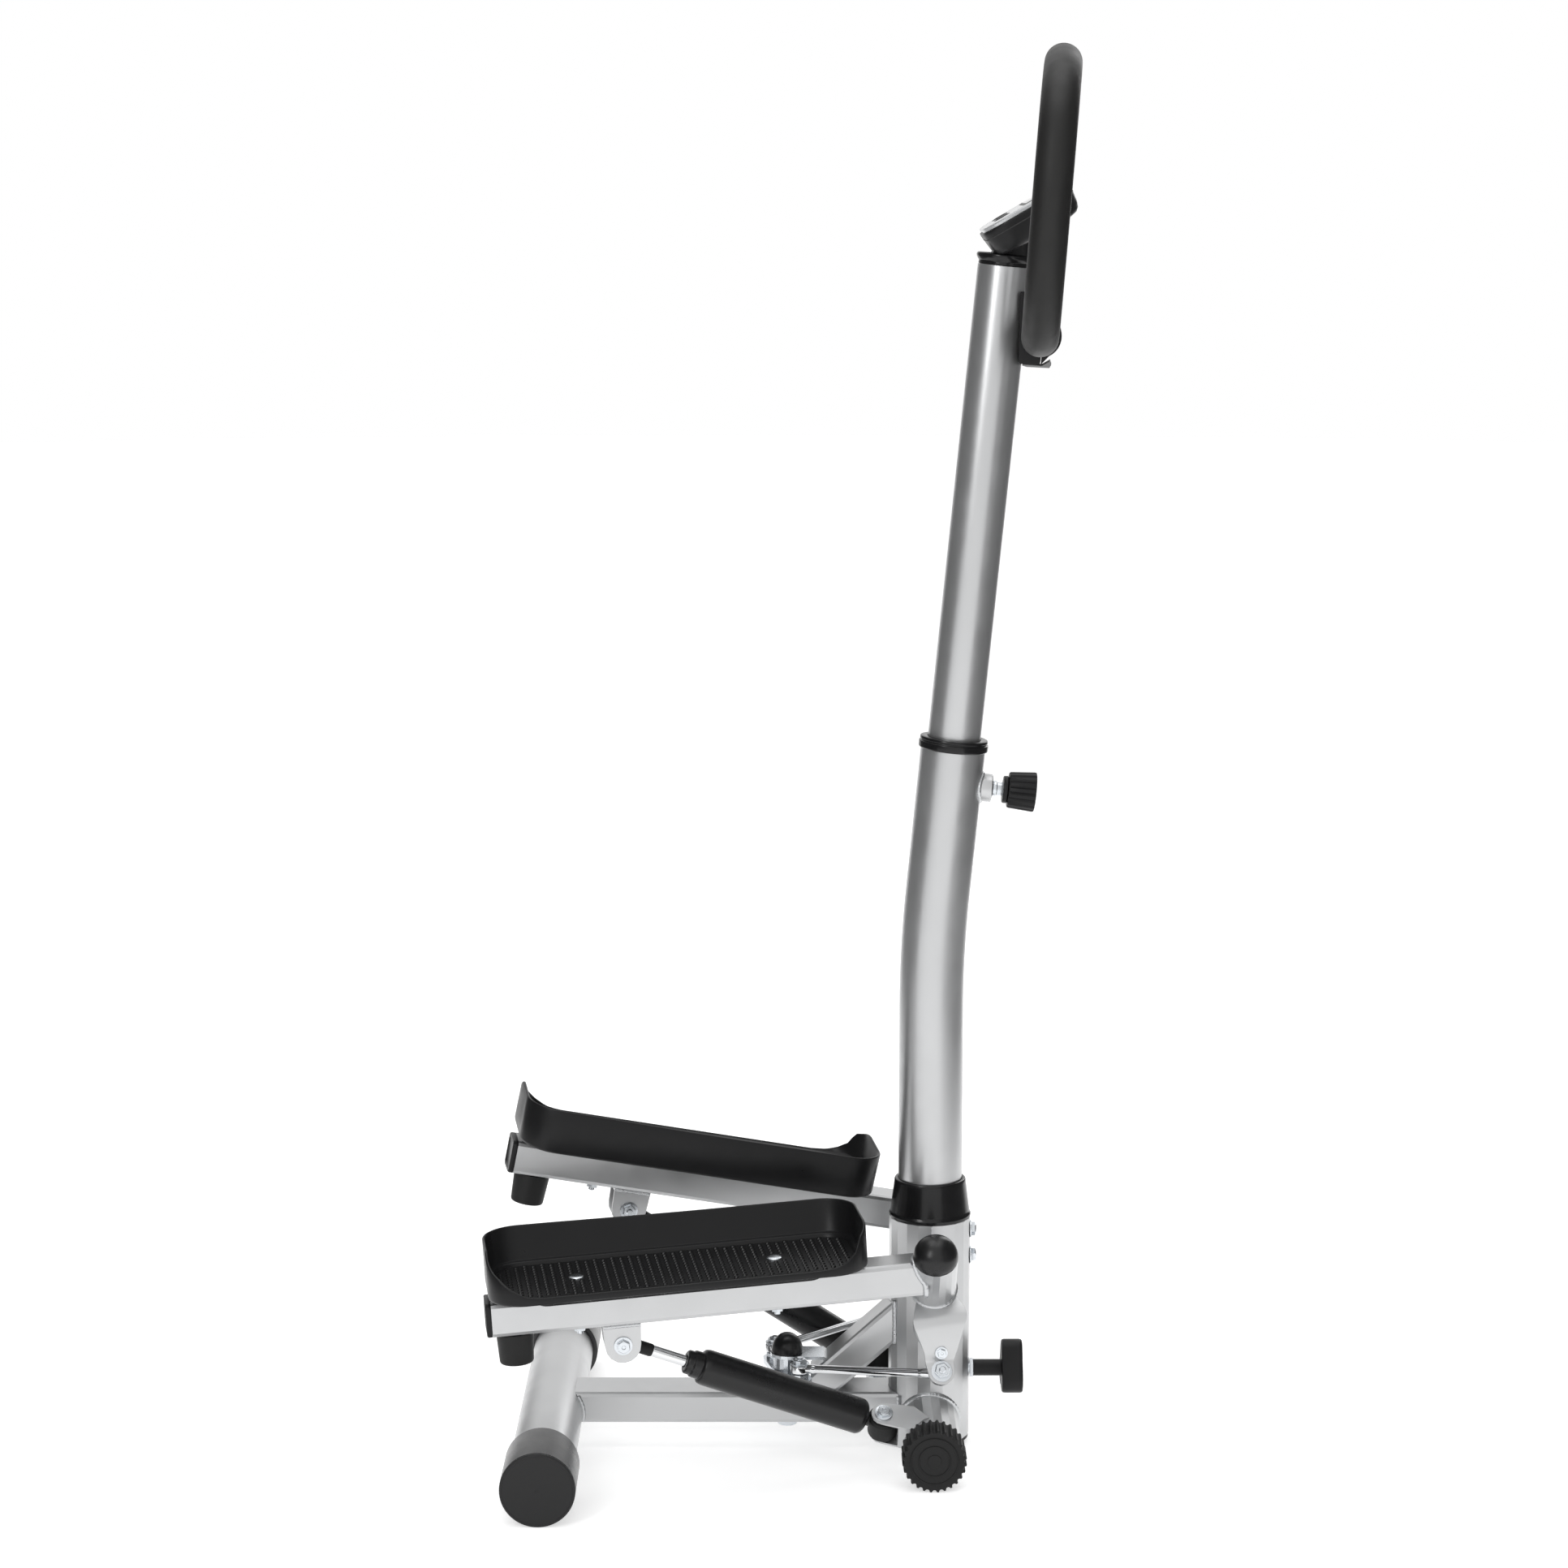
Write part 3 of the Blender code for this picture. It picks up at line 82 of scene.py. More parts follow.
TURN = {-1: math.radians(10.1), 1: math.radians(12.6)}
ARM_WIDTH, ARM_HEIGHT, ARM_REAR = 0.038, 0.032, -0.411
SLEEVE_RADIUS, SLEEVE_LOW, SLEEVE_HIGH = 0.0208, -0.0275, 0.0253
PLATE_REAR, PLATE_FRONT, PLATE_HALF_WIDTH = -0.413, -0.066, 0.060
PLATE_UNDER, PLATE_FLOOR = 0.0235, 0.0285
PLATE_BOLTS_X = (-0.331, -0.1485)
FOOT_X, FOOT_HEIGHT = -0.3903, 0.029
CLEVIS_X, CLEVIS_DROP = -0.2934, 0.036
LUG = Vector((-0.0055, 0.0018, -0.0973))
LUG_TILT = math.radians(30)
ROCKER_X, ROCKER_REACH, ROCKER_TURN = 0.0023, 0.0340, math.radians(20.5)
ROD_Z = 0.081
CYLINDER_PIVOT = Vector((0.0916, 0.0895, 0.047))
CYLINDER_AXIS = Vector((0.029, 0.553, 0.832)).normalized()
PISTON_LENGTH = 0.1146
CONSOLE_TILT = math.radians(30)
CONSOLE_CENTRE = Vector((0.2192, 0, 1.1620))
HANDLE_YAW, HANDLE_LEAN = math.radians(-4.3), math.radians(4.2)
HANDLE_BASE = Vector((0.2330, 0, 1.052))
GRIP_RADIUS, GRIP_START = 0.017, 0.031

# ---------------------------------------------------------------- dimensions of the detail

LOWER_RADIUS, BOSS_RADIUS = 0.030, 0.0131
REAR_CAP_LENGTH = 0.072
FRONT_CAP_LENGTH, FRONT_CAP_RIBS = 0.0315, 28
KNOB_RADIUS, KNOB_LOBE = 0.0237, 0.0042
CLAMP_HALF_WIDTH = 0.0225
STUD_PITCH_X, STUD_PITCH_Y = 0.0081, 0.0076
PIN_RADIUS, ROD_RADIUS, CYLINDER_RADIUS = 0.0040, 0.0046, 0.0168
FLOOR_RADIUS, FLAG_X = 14, 1.25


# ---------------------------------------------------------------- materials

def principled(name, colour, roughness, metallic=0.0, **inputs):
    """A Principled material and its shader."""
    material = bpy.data.materials.new(name)
    material.use_nodes = True
    shader = material.node_tree.nodes["Principled BSDF"]
    shader.inputs["Base Color"].default_value = (*colour, 1)
    shader.inputs["Roughness"].default_value = roughness
    shader.inputs["Metallic"].default_value = metallic
    for key, value in inputs.items():
        shader.inputs[key.replace("_", " ").title().replace("Ior", "IOR")].default_value = value
    return material, shader


def noise_node(tree, scale, detail=3.0, roughness=0.55, stretch=None):
    """Noise in object coordinates, in metres, so its grain has a real size."""
    place = tree.nodes.new("ShaderNodeTexCoord")
    source = place.outputs["Object"]
    if stretch:
        mapping = tree.nodes.new("ShaderNodeMapping")
        mapping.inputs["Scale"].default_value = stretch
        tree.links.new(source, mapping.inputs["Vector"])
        source = mapping.outputs["Vector"]
    noise = tree.nodes.new("ShaderNodeTexNoise")
    noise.inputs["Scale"].default_value = scale
    noise.inputs["Detail"].default_value = detail
    noise.inputs["Roughness"].default_value = roughness
    tree.links.new(source, noise.inputs["Vector"])
    return noise


def ramp(tree, value, low, high, start=0.3, end=0.7):
    """Colours or greys over a value."""
    node = tree.nodes.new("ShaderNodeValToRGB")
    node.color_ramp.elements[0].position = start
    node.color_ramp.elements[1].position = end
    node.color_ramp.elements[0].color = (*low, 1)
    node.color_ramp.elements[1].color = (*high, 1)
    tree.links.new(value, node.inputs["Fac"])
    return node.outputs["Color"]


def bump(tree, height, shader, strength, distance, below=None):
    node = tree.nodes.new("ShaderNodeBump")
    node.inputs["Strength"].default_value = strength
    node.inputs["Distance"].default_value = distance
    tree.links.new(height, node.inputs["Height"])
    if below:
        tree.links.new(below, node.inputs["Normal"])
    tree.links.new(node.outputs["Normal"], shader.inputs["Normal"])
    return node.outputs["Normal"]


def grained(name, colour, roughness, spread, grain, depth, metallic=0.0, tint=0.06, **inputs):
    """A finish with a fine grain, a faint change of tone and an uneven gloss."""
    material, shader = principled(name, colour, roughness, metallic, **inputs)
    tree = material.node_tree
    patches = noise_node(tree, 9.0, 4.0)
    light = tuple(min(c * (1 + tint), 1) for c in colour)
    dark = tuple(c * (1 - tint) for c in colour)
    tree.links.new(ramp(tree, patches.outputs["Fac"], dark, light), shader.inputs["Base Color"])
    smear = noise_node(tree, 38.0, 5.0, 0.65)
    low, high = roughness - spread, roughness + spread
    tree.links.new(ramp(tree, smear.outputs["Fac"], (low,) * 3, (high,) * 3), shader.inputs["Roughness"])
    fine = noise_node(tree, grain, 2.0)
    bump(tree, fine.outputs["Fac"], shader, 1.0, depth)
    return material


def make_materials():
    made = {
        "silver": grained("silver_powder_coat", (0.53, 0.535, 0.54), 0.34, 0.04, 1500, 0.00002, 0.88, 0.025,
                          coat_weight=0.10, coat_roughness=0.25),
        "weld": grained("painted_weld", (0.53, 0.54, 0.55), 0.30, 0.08, 420, 0.00012, 0.85, 0.06,
                        coat_weight=0.2, coat_roughness=0.2),
        "zinc": grained("zinc_plate", (0.66, 0.69, 0.72), 0.27, 0.09, 700, 0.00002, 1.0, 0.07),
        "chrome": grained("bright_chrome", (0.78, 0.79, 0.80), 0.09, 0.03, 2500, 0.000003, 1.0, 0.03),
        "black_plastic": grained("black_moulding", (0.011, 0.011, 0.0115), 0.38, 0.05, 1700, 0.00004, 0, 0.12,
                                 specular_ior_level=0.20),
        "plate": grained("footplate_moulding", (0.009, 0.009, 0.0095), 0.33, 0.06, 1300, 0.00003, 0, 0.15,
                         specular_ior_level=0.22),
        "gloss_black": grained("gloss_black", (0.007, 0.007, 0.0075), 0.20, 0.04, 600, 0.00001, 0, 0.1,
                               specular_ior_level=0.35),
        "satin_black": grained("satin_black", (0.008, 0.008, 0.0085), 0.30, 0.05, 900, 0.00002, 0, 0.1,
                               specular_ior_level=0.38),
        "cap_sleeve": grained("cap_sleeve", (0.030, 0.030, 0.031), 0.30, 0.05, 1500, 0.00003, 0.35, 0.1,
                              specular_ior_level=0.60),
        "cap_face": grained("cap_moulding", (0.020, 0.020, 0.0205), 0.50, 0.06, 1500, 0.00005, 0, 0.1,
                            specular_ior_level=0.20),
        "rubber": grained("black_rubber", (0.012, 0.012, 0.012), 0.52, 0.08, 1100, 0.00008, 0, 0.15,
                          specular_ior_level=0.22),
        "foam": grained("grip_foam", (0.012, 0.0118, 0.0115), 0.50, 0.06, 1900, 0.00009, 0, 0.10,
                        specular_ior_level=0.30),
        "console_silver": grained("console_paint", (0.52, 0.53, 0.54), 0.30, 0.05, 1800, 0.00001, 0.45, 0.03,
                                  coat_weight=0.4, coat_roughness=0.1),
        "lip_plate": grained("clamp_lip", (0.20, 0.20, 0.20), 0.40, 0.05, 1500, 0.00003, 0.2, 0.05),
        "display": grained("display_window", (0.030, 0.036, 0.033), 0.10, 0.03, 300, 0.000002, 0, 0.1,
                           coat_weight=0.8, coat_roughness=0.04),
        "hollow": grained("dark_inside", (0.02, 0.02, 0.02), 0.7, 0.05, 900, 0.00005, 0, 0.1),
    }
    return made


# ---------------------------------------------------------------- mesh helpers

def fillet(points, radius, closed=False, steps=3):
    """Round the corners of a flat outline."""
    out = []
    count = len(points)
    for i, p in enumerate(points):
        p = Vector(p)
        if not closed and i in (0, count - 1):
            out.append(tuple(p))
            continue
        a = Vector(points[i - 1]) - p
        b = Vector(points[(i + 1) % count]) - p
        reach = min(radius, a.length * 0.45, b.length * 0.45)
        start = p + a.normalized() * reach
        end = p + b.normalized() * reach
        for k in range(steps + 1):
            t = k / steps
            out.append(tuple(start * (1 - t) ** 2 + p * 2 * t * (1 - t) + end * t ** 2))
    return out


def shape(name, bm, material, matrix=None, sharp=40, bevel=0.0, segments=2):
    """Turn a bmesh into an object in the row frame."""
    bmesh.ops.recalc_face_normals(bm, faces=bm.faces)
    mesh = bpy.data.meshes.new(name)
    bm.to_mesh(mesh)
    bm.free()
    mesh.materials.append(MATERIALS[material])
    obj = bpy.data.objects.new(name, mesh)
    bpy.context.scene.collection.objects.link(obj)
    obj.matrix_world = matrix or Matrix.Identity(4)
    mesh.shade_smooth()
    if bevel:
        modifier = obj.modifiers.new("Bevel", "BEVEL")
        modifier.width = bevel
        modifier.segments = segments
        modifier.limit_method = "ANGLE"
        modifier.angle_limit = math.radians(30)
        modifier.harden_normals = True
    else:
        mesh.set_sharp_from_angle(angle=math.radians(sharp))
    return obj


def piece(obj, body, slot, *nodes):
    """Attach a piece to its body and hide the CAD nodes that it stands for; the slot is not used."""
    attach(obj, body)
    if nodes:
        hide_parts(*nodes)
    return obj


def bridge(bm, rows, closed_rows=False, loop=True):
    """Join rows of vertices with quads."""
    pairs = list(zip(rows, rows[1:]))
    if closed_rows:
        pairs.append((rows[-1], rows[0]))
    for low, high in pairs:
        count = len(low)
        for i in range(count if loop else count - 1):
            j = (i + 1) % count
            bm.faces.new((low[i], low[j], high[j], high[i]))


def add_solid(bm, rows):
    """Join rows of vertices with quads and close both ends."""
    bridge(bm, rows)
    bm.faces.new(rows[0])
    bm.faces.new(rows[-1])


def polar(radius, angle):
    return radius * math.cos(angle), radius * math.sin(angle)


def full_turn(count):
    """Equal angles once round."""
    return [2 * math.pi * i / count for i in range(count)]


def ring_rows(bm, levels, count, radius):
    """A ring of vertices at each level's height, its first value, with radius(level, i, angle)."""
    rows = []
    for level in levels:
        rows.append([bm.verts.new((*polar(radius(level, i, angle), angle), level[0]))
                     for i, angle in enumerate(full_turn(count))])
    return rows


def add_lathe(bm, profile, steps=48, ring=False, matrix=None):
    """Turn (radius, height) points about Z into a bmesh."""
    matrix = matrix or Matrix.Identity(4)
    rows = []
    for radius, height in profile:
        count = steps if radius > 1e-6 else 1
        rows.append([bm.verts.new(matrix @ Vector((*polar(radius, angle), height)))
                     for angle in full_turn(steps)[:count]])
    pairs = list(zip(rows, rows[1:])) + ([(rows[-1], rows[0])] if ring else [])
    for low, high in pairs:
        if len(low) == 1 and len(high) == 1:
            continue
        for i in range(steps):
            corners = []
            for row, k in ((low, i), (low, i + 1), (high, i + 1), (high, i)):
                vertex = row[k % len(row)]
                if vertex not in corners:
                    corners.append(vertex)
            bm.faces.new(corners)
    if not ring:
        for row in (rows[0], rows[-1]):
            if len(row) > 1:
                bm.faces.new(row)


def lathe(name, profile, material, matrix, round_to=0.0006, steps=56, ring=False):
    bm = bmesh.new()
    add_lathe(bm, fillet(profile, round_to, closed=ring), steps, ring)
    return shape(name, bm, material, matrix, sharp=50)


def add_prism(bm, outline, low, high, matrix=None):
    matrix = matrix or Matrix.Identity(4)
    rows = [[bm.verts.new(matrix @ Vector((x, y, z))) for x, y in outline] for z in (low, high)]
    add_solid(bm, rows)


def frames(path, reference, closed):
    """Two cross directions at each point of a path."""
    count = len(path)
    result = []
    for i, point in enumerate(path):
        after = path[(i + 1) % count] if closed or i < count - 1 else point
        before = path[i - 1] if closed or i > 0 else point
        tangent = (after - before).normalized()
        side = tangent.cross(reference).normalized()
        result.append((side, side.cross(tangent).normalized()))
    return result


def add_sweep(bm, path, reference, radii, sides=16, closed=False):
    """A round rod along a path; radii holds one radius for each point."""
    rows = []
    for point, radius, (a, b) in zip(path, radii, frames(path, reference, closed)):
        row = []
        for k in range(sides):
            angle = 2 * math.pi * k / sides
            row.append(bm.verts.new(point + (a * math.cos(angle) + b * math.sin(angle)) * radius))
        rows.append(row)
    bridge(bm, rows, closed_rows=closed)
    if not closed:
        bm.faces.new(rows[0])
        bm.faces.new(rows[-1])


def weld(name, path, reference, body, size=0.0021, closed=True, matrix=None):
    """A rippled bead of weld along a joint, painted over with the frame."""
    matrix = matrix or Matrix.Identity(4)
    dense = []
    count = len(path)
    for i in range(count if closed else count - 1):
        a, b = path[i], path[(i + 1) % count]
        parts = max(1, round((b - a).length / 0.0011))
        dense += [a.lerp(b, k / parts) for k in range(parts)]
    if not closed:
        dense.append(path[-1])
    radii = []
    run = 0.0
    for i, point in enumerate(dense):
        run += (point - dense[i - 1]).length if i else 0
        ripple = 0.13 * abs(math.sin(run * math.pi / 0.0042)) + 0.07 * math.sin(run * 190 + 1.3)
        radii.append(size * (0.86 + ripple))
    bm = bmesh.new()
    add_sweep(bm, dense, reference, radii, 10, closed)
    return piece(shape(name, bm, "weld", matrix, sharp=70), body, "silver")


def along(origin, direction):
    turn = Vector(direction).to_track_quat("Z", "Y").to_matrix().to_4x4()
    return Matrix.Translation(origin) @ turn


def side_view(origin=(0, 0, 0)):
    """Local x is X, local y is Z, local z is -Y."""
    return Matrix.Translation(origin) @ Matrix(((1, 0, 0, 0), (0, 0, -1, 0), (0, 1, 0, 0), (0, 0, 0, 1)))


def rounded_rectangle(width, height, radius, steps=4):
    points = []
    for corner, (sx, sy) in enumerate(((1, 1), (-1, 1), (-1, -1), (1, -1))):
        for i in range(steps + 1):
            angle = math.pi / 2 * (corner + i / steps)
            points.append((sx * (width / 2 - radius) + radius * math.cos(angle),
                           sy * (height / 2 - radius) + radius * math.sin(angle)))
    return points


def hexagon(radius, turn=0.0):
    return [polar(radius, math.pi / 3 * k + turn) for k in range(6)]


def eye_profile(bore, outer, half, shoulder, drop):
    """A ring with chamfered edges, to turn about its bolt."""
    return [(bore, -half), (outer - shoulder, -half), (outer, drop - half), (outer, half - drop),
            (outer - shoulder, half), (bore, half)]


def pin(name, matrix, body, half):
    """A plain zinc rod through a joint."""
    bm = bmesh.new()
    add_lathe(bm, [(PIN_RADIUS, -half), (PIN_RADIUS, half)], 24)
    return piece(shape(name, bm, "zinc", matrix, sharp=50), body, "zinc")


def hex_bolt(name, matrix, body, across=0.0075, height=0.0052, washer=0.0095, stub=0.0, turn=0.2):
    """A hexagonal head on a washer, its corners turned off, with the thread's end where one shows."""
    bm = bmesh.new()
    top = 0.0013
    add_lathe(bm, fillet([(washer, 0), (washer, 0.0012), (0.001, 0.0012)], 0.0003), 32)
    outline = hexagon(across, turn)
    rows = []
    for scale, z in ((0.97, top - 0.0002), (1.0, top + 0.0005), (1.0, height - 0.0008), (0.90, height)):
        rows.append([bm.verts.new((x * scale, y * scale, z)) for x, y in outline])
    add_solid(bm, rows)
    add_lathe(bm, [(across * 0.80, height - 0.0003), (across * 0.76, height + 0.0004),
                   (across * 0.30, height + 0.0005), (across * 0.24, height + 0.0001), (0, height + 0.0001)],
                   28)
    if stub:
        profile = [(0.0031, 0.0)]
        turns = int(stub / 0.0008)
        for i in range(turns):
            z = height + 0.0004 + i * 0.0008
            profile += [(0.0031, z), (0.0027, z + 0.0004)]
        profile += [(0.0024, height + stub), (0, height + stub)]
        add_lathe(bm, profile, 20)
    return piece(shape(name, bm, "zinc", matrix, sharp=30), body, "zinc")


def interpolate(table, x):
    """Height between (distance, height) pairs, in straight steps."""
    if x <= table[0][0]:
        return table[0][1]
    for (x0, y0), (x1, y1) in zip(table, table[1:]):
        if x <= x1:
            t = (x - x0) / (x1 - x0)
            return y0 + (y1 - y0) * t
    return table[-1][1]


def smooth(t):
    t = min(max(t, 0.0), 1.0)
    return t * t * (3 - 2 * t)


# ---------------------------------------------------------------- frames of the moving parts

def mast_direction():
    return Vector((math.sin(MAST_LEAN), 0, math.cos(MAST_LEAN)))


def mast_frame():
    return Matrix.Translation(MAST_VERTEX) @ Matrix.Rotation(MAST_LEAN, 4, "Y")


def pivot_axis(side):
    return Vector((0, side * math.sin(PIVOT_TILT), math.cos(PIVOT_TILT)))


def pedal_frame(side):
    point = Vector((PIVOT.x, side * PIVOT.y, PIVOT.z))
    return Matrix.Translation(point) @ Matrix.Rotation(TURN[side], 4, pivot_axis(side))


def arm_frame(side):
    return pedal_frame(side) @ Matrix.Rotation(PITCH, 4, "Y")


def handle_frame():
    about_mast = Matrix.Rotation(HANDLE_YAW, 4, mast_direction())
    at_mast = MAST_VERTEX + mast_direction() * ((HANDLE_BASE - MAST_VERTEX).dot(mast_direction()))
    offset = about_mast @ (HANDLE_BASE - at_mast)
    return Matrix.Translation(at_mast + offset) @ about_mast @ Matrix.Rotation(HANDLE_LEAN, 4, "Y")


def clevis_point(side):
    return arm_frame(side) @ Vector((CLEVIS_X, 0, -CLEVIS_DROP))


def lug_point(side):
    return pedal_frame(side) @ Vector((LUG.x, side * LUG.y, LUG.z))


# ---------------------------------------------------------------- stabilizers

def ring_on_post(radius, height, side):
    """Curve where a round tube along Y runs into the post."""
    path = []
    for angle in full_turn(48):
        x = radius * math.cos(angle)
        y = side * math.sqrt(max((POST_RADIUS + 0.0004) ** 2 - x * x, 0))
        path.append(Vector((MAST_X + x, y, height + radius * math.sin(angle))))
    return path


def build_rear_stabilizer():
    end = REAR_HALF_LENGTH - 0.0063
    profile = [(REAR_RADIUS, -end), (REAR_RADIUS, end), (REAR_RADIUS - 0.002, end),
               (REAR_RADIUS - 0.002, -end)]
    tube = lathe("rear_tube", profile, "silver", along((REAR_X, 0, REAR_Z), (0, 1, 0)), 0.0005, 72, ring=True)
    piece(tube, "base", "silver", "rear_stabilizer")
    length = REAR_CAP_LENGTH
    for side, label in SIDES:
        start = along((REAR_X, side * (REAR_HALF_LENGTH - length), REAR_Z), (0, side, 0))
        profile = [(0.0297, 0.0), (0.0336, 0.0), (0.0341, 0.0008), (0.0344, length - 0.0040),
                   (0.0338, length - 0.0028),
                   (0.0297, length - 0.0028)]
        sleeve = lathe("rear_cap_sleeve_" + label, profile, "cap_sleeve", start, 0.0003, 72, ring=True)
        piece(sleeve, "base", "gloss_black", "rear_cap_" + label)
        profile = [(0.0, length - 0.0060), (0.0325, length - 0.0060), (0.0325, length - 0.0026),
                   (0.0343, length - 0.0024),
                   (0.0343, length - 0.0008), (0.0334, length), (0.0322, length), (0.0319, length - 0.0005),
                   (0.0020, length - 0.0005), (0.0014, length - 0.0009), (0.0, length - 0.0009)]
        face = lathe("rear_cap_face_" + label, profile, "cap_face", start, 0.0003, 72)
        piece(face, "base", "gloss_black")


def build_front_caps():
    """Each cap has deep grip ribs round it and raised rings on its face."""
    length = FRONT_CAP_LENGTH
    wave = (0.0, 0.0, 0.35, 1.0, 1.0, 1.0, 0.35, 0.0)
    for side, label in SIDES:
        bm = bmesh.new()
        start = (MAST_X, side * (FRONT_HALF_LENGTH - length), FRONT_Z)
        levels = ((0.0, 0.0274, 0.0016), (0.0004, 0.0275, 0.0023), (length - 0.0012, 0.0275, 0.0023),
                  (length - 0.0004, 0.0273, 0.0014), (length - 0.0002, 0.0268, 0.0))
        rows = ring_rows(bm, levels, FRONT_CAP_RIBS * len(wave),
                         lambda level, i, angle: level[1] + level[2] * wave[i % len(wave)])
        bridge(bm, rows)
        inner = [bm.verts.new((v.co.x * 0.92, v.co.y * 0.92, length - 0.0009)) for v in rows[-1]]
        bridge(bm, [rows[-1], inner])
        bm.faces.new(inner)
        bm.faces.new(rows[0])
        obj = shape("front_cap_shell_" + label, bm, "rubber", along(start, (0, side, 0)), sharp=32)
        piece(obj, "base", "rubber", "front_cap_" + label)
        bm = bmesh.new()
        face = length - 0.0011
        for outer, inner_radius, rise in ((0.0225, 0.0210, 0.0009), (0.0150, 0.0136, 0.0009),
                                          (0.0066, 0.0, 0.0007)):
            profile = [(outer, face), (outer - 0.0003, face + rise)]
            if inner_radius:
                profile += [(inner_radius + 0.0003, face + rise), (inner_radius, face)]
                add_lathe(bm, profile, 56, ring=True)
            else:
                add_lathe(bm, profile, 40)
        rings = shape("front_cap_rings_" + label, bm, "rubber", along(start, (0, side, 0)), sharp=50)
        piece(rings, "base", "rubber")


def build_base_welds():
    for side, label in SIDES:
        path = ring_on_post(FRONT_RADIUS, FRONT_Z, side)
        weld("weld_front_tube_" + label, path, Vector((0, 1, 0)), "base", 0.0030)
        axis = pivot_axis(side)
        centre = Vector((PIVOT.x, side * PIVOT.y, PIVOT.z))
        across = Vector((1, 0, 0))
        other = axis.cross(across)
        path = []
        for angle in full_turn(40):
            start = centre + across * 0.015 * math.cos(angle) + other * 0.015 * math.sin(angle)
            x = start.x - MAST_X
            reach = math.sqrt((POST_RADIUS + 0.0004) ** 2 - x * x)
            t = (side * reach - start.y) / axis.y
            path.append(start + axis * t)
        weld("weld_pedal_shaft_" + label, path, Vector((0, 1, 0)), "base", 0.0028)
    x = REAR_X + math.sqrt(REAR_RADIUS ** 2 - 0.0104 ** 2)
    for side, label in SIDES:
        path = []
        for i in range(9):
            z = BEAM_BOTTOM + 0.003 + (BEAM_TOP - BEAM_BOTTOM - 0.006) * i / 8
            reach = math.sqrt(max((REAR_RADIUS + 0.0005) ** 2 - (z - REAR_Z) ** 2, 0))
            path.append(Vector((REAR_X + reach, side * 0.0252, z)))
        weld("weld_beam_rear_" + label, path, Vector((0, 1, 0)), "base", 0.0024, closed=False)
        path = []
        for i in range(7):
            z = BEAM_BOTTOM + 0.003 + (BEAM_TOP - BEAM_BOTTOM - 0.006) * i / 6
            path.append(Vector((MAST_X - math.sqrt(POST_RADIUS ** 2 - 0.0252 ** 2) - 0.0006, side * 0.0254,
                                z)))
        weld("weld_beam_front_" + label, path, Vector((1, 0, 0)), "base", 0.0026, closed=False)
        slope = Vector((math.cos(STRUT_ANGLE), 0, math.sin(STRUT_ANGLE)))
        normal = Vector((-slope.z, 0, slope.x))
        foot = Vector((STRUT_FOOT_X, 0, BEAM_TOP))
        path = []
        reach = MAST_X - math.sqrt(POST_RADIUS ** 2 - 0.020 ** 2)
        for i in range(9):
            off = -0.0155 + 0.031 * i / 8
            base = foot + normal * off
            t = (reach - base.x) / slope.x
            path.append(base + slope * t + Vector((-0.0006, side * 0.0204, 0)))
        weld("weld_strut_top_" + label, path, Vector((0, 1, 0)), "base", 0.0024, closed=False)
        low = STRUT_REAR + 0.002
        high = STRUT_FOOT_X + 0.0155 / math.sin(STRUT_ANGLE) - 0.001
        path = [Vector((low + (high - low) * i / 6, side * 0.0206, BEAM_TOP + 0.0006)) for i in range(7)]
        weld("weld_strut_foot_" + label, path, Vector((0, 0, 1)), "base", 0.0022, closed=False)
    path = [Vector((0.0378, y, 0.0846)) for y in (-0.0150, -0.005, 0.005, 0.0150)]
    weld("weld_support_bar", path, Vector((0, 0, 1)), "base", 0.0020, closed=False)


# ---------------------------------------------------------------- post and mast

def build_post_details():
    bore = 0.0303
    profile = [
        (POST_RADIUS - 0.0030, POST_TOP - 0.006), (POST_RADIUS - 0.0030, POST_TOP + 0.0003),
        (POST_RADIUS + 0.0002, POST_TOP + 0.0003), (POST_RADIUS + 0.0003, POST_TOP + 0.0036),
        (POST_RADIUS - 0.0004, POST_TOP + 0.0046), (POST_RADIUS - 0.0010, POST_TOP + 0.0060),
        (0.0342, 0.2545), (0.0340, 0.2560), (0.0336, 0.2592), (0.0318, 0.2600), (bore, 0.2600),
        (bore, 0.2162)]
    obj = lathe("mast_bushing_shell", profile, "gloss_black", Matrix.Translation((MAST_X, 0, 0)), 0.0010, 80,
                ring=True)
    piece(obj, "base", "black_plastic", "mast_bushing")
    for i, (name, height) in enumerate((("mast_bolt_upper", 0.2088), ("mast_bolt_lower", 0.1832))):
        bolt = hex_bolt(name + "_head", along((MAST_X + POST_RADIUS - 0.0003, 0, height), (1, 0, 0)), "base",
                        0.0064, 0.0054, 0.0082, turn=0.2 + 0.4 * i)
        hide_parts(name)
    profile = [(POST_RADIUS - 0.0012, 0.0040), (POST_RADIUS - 0.0006, 0.0048), (POST_RADIUS - 0.0006, 0.0077),
               (0.0355, 0.0077), (0.0355, 0.018), (0.0330, 0.018), (0.0330, 0.0070), (0.0, 0.0070),
               (0.0, 0.0040)]
    plug = lathe("post_plug_shell", profile, "black_plastic", Matrix.Translation((MAST_X, 0, 0)), 0.0006, 64,
                 ring=True)
    piece(plug, "base", "black_plastic", "post_plug")


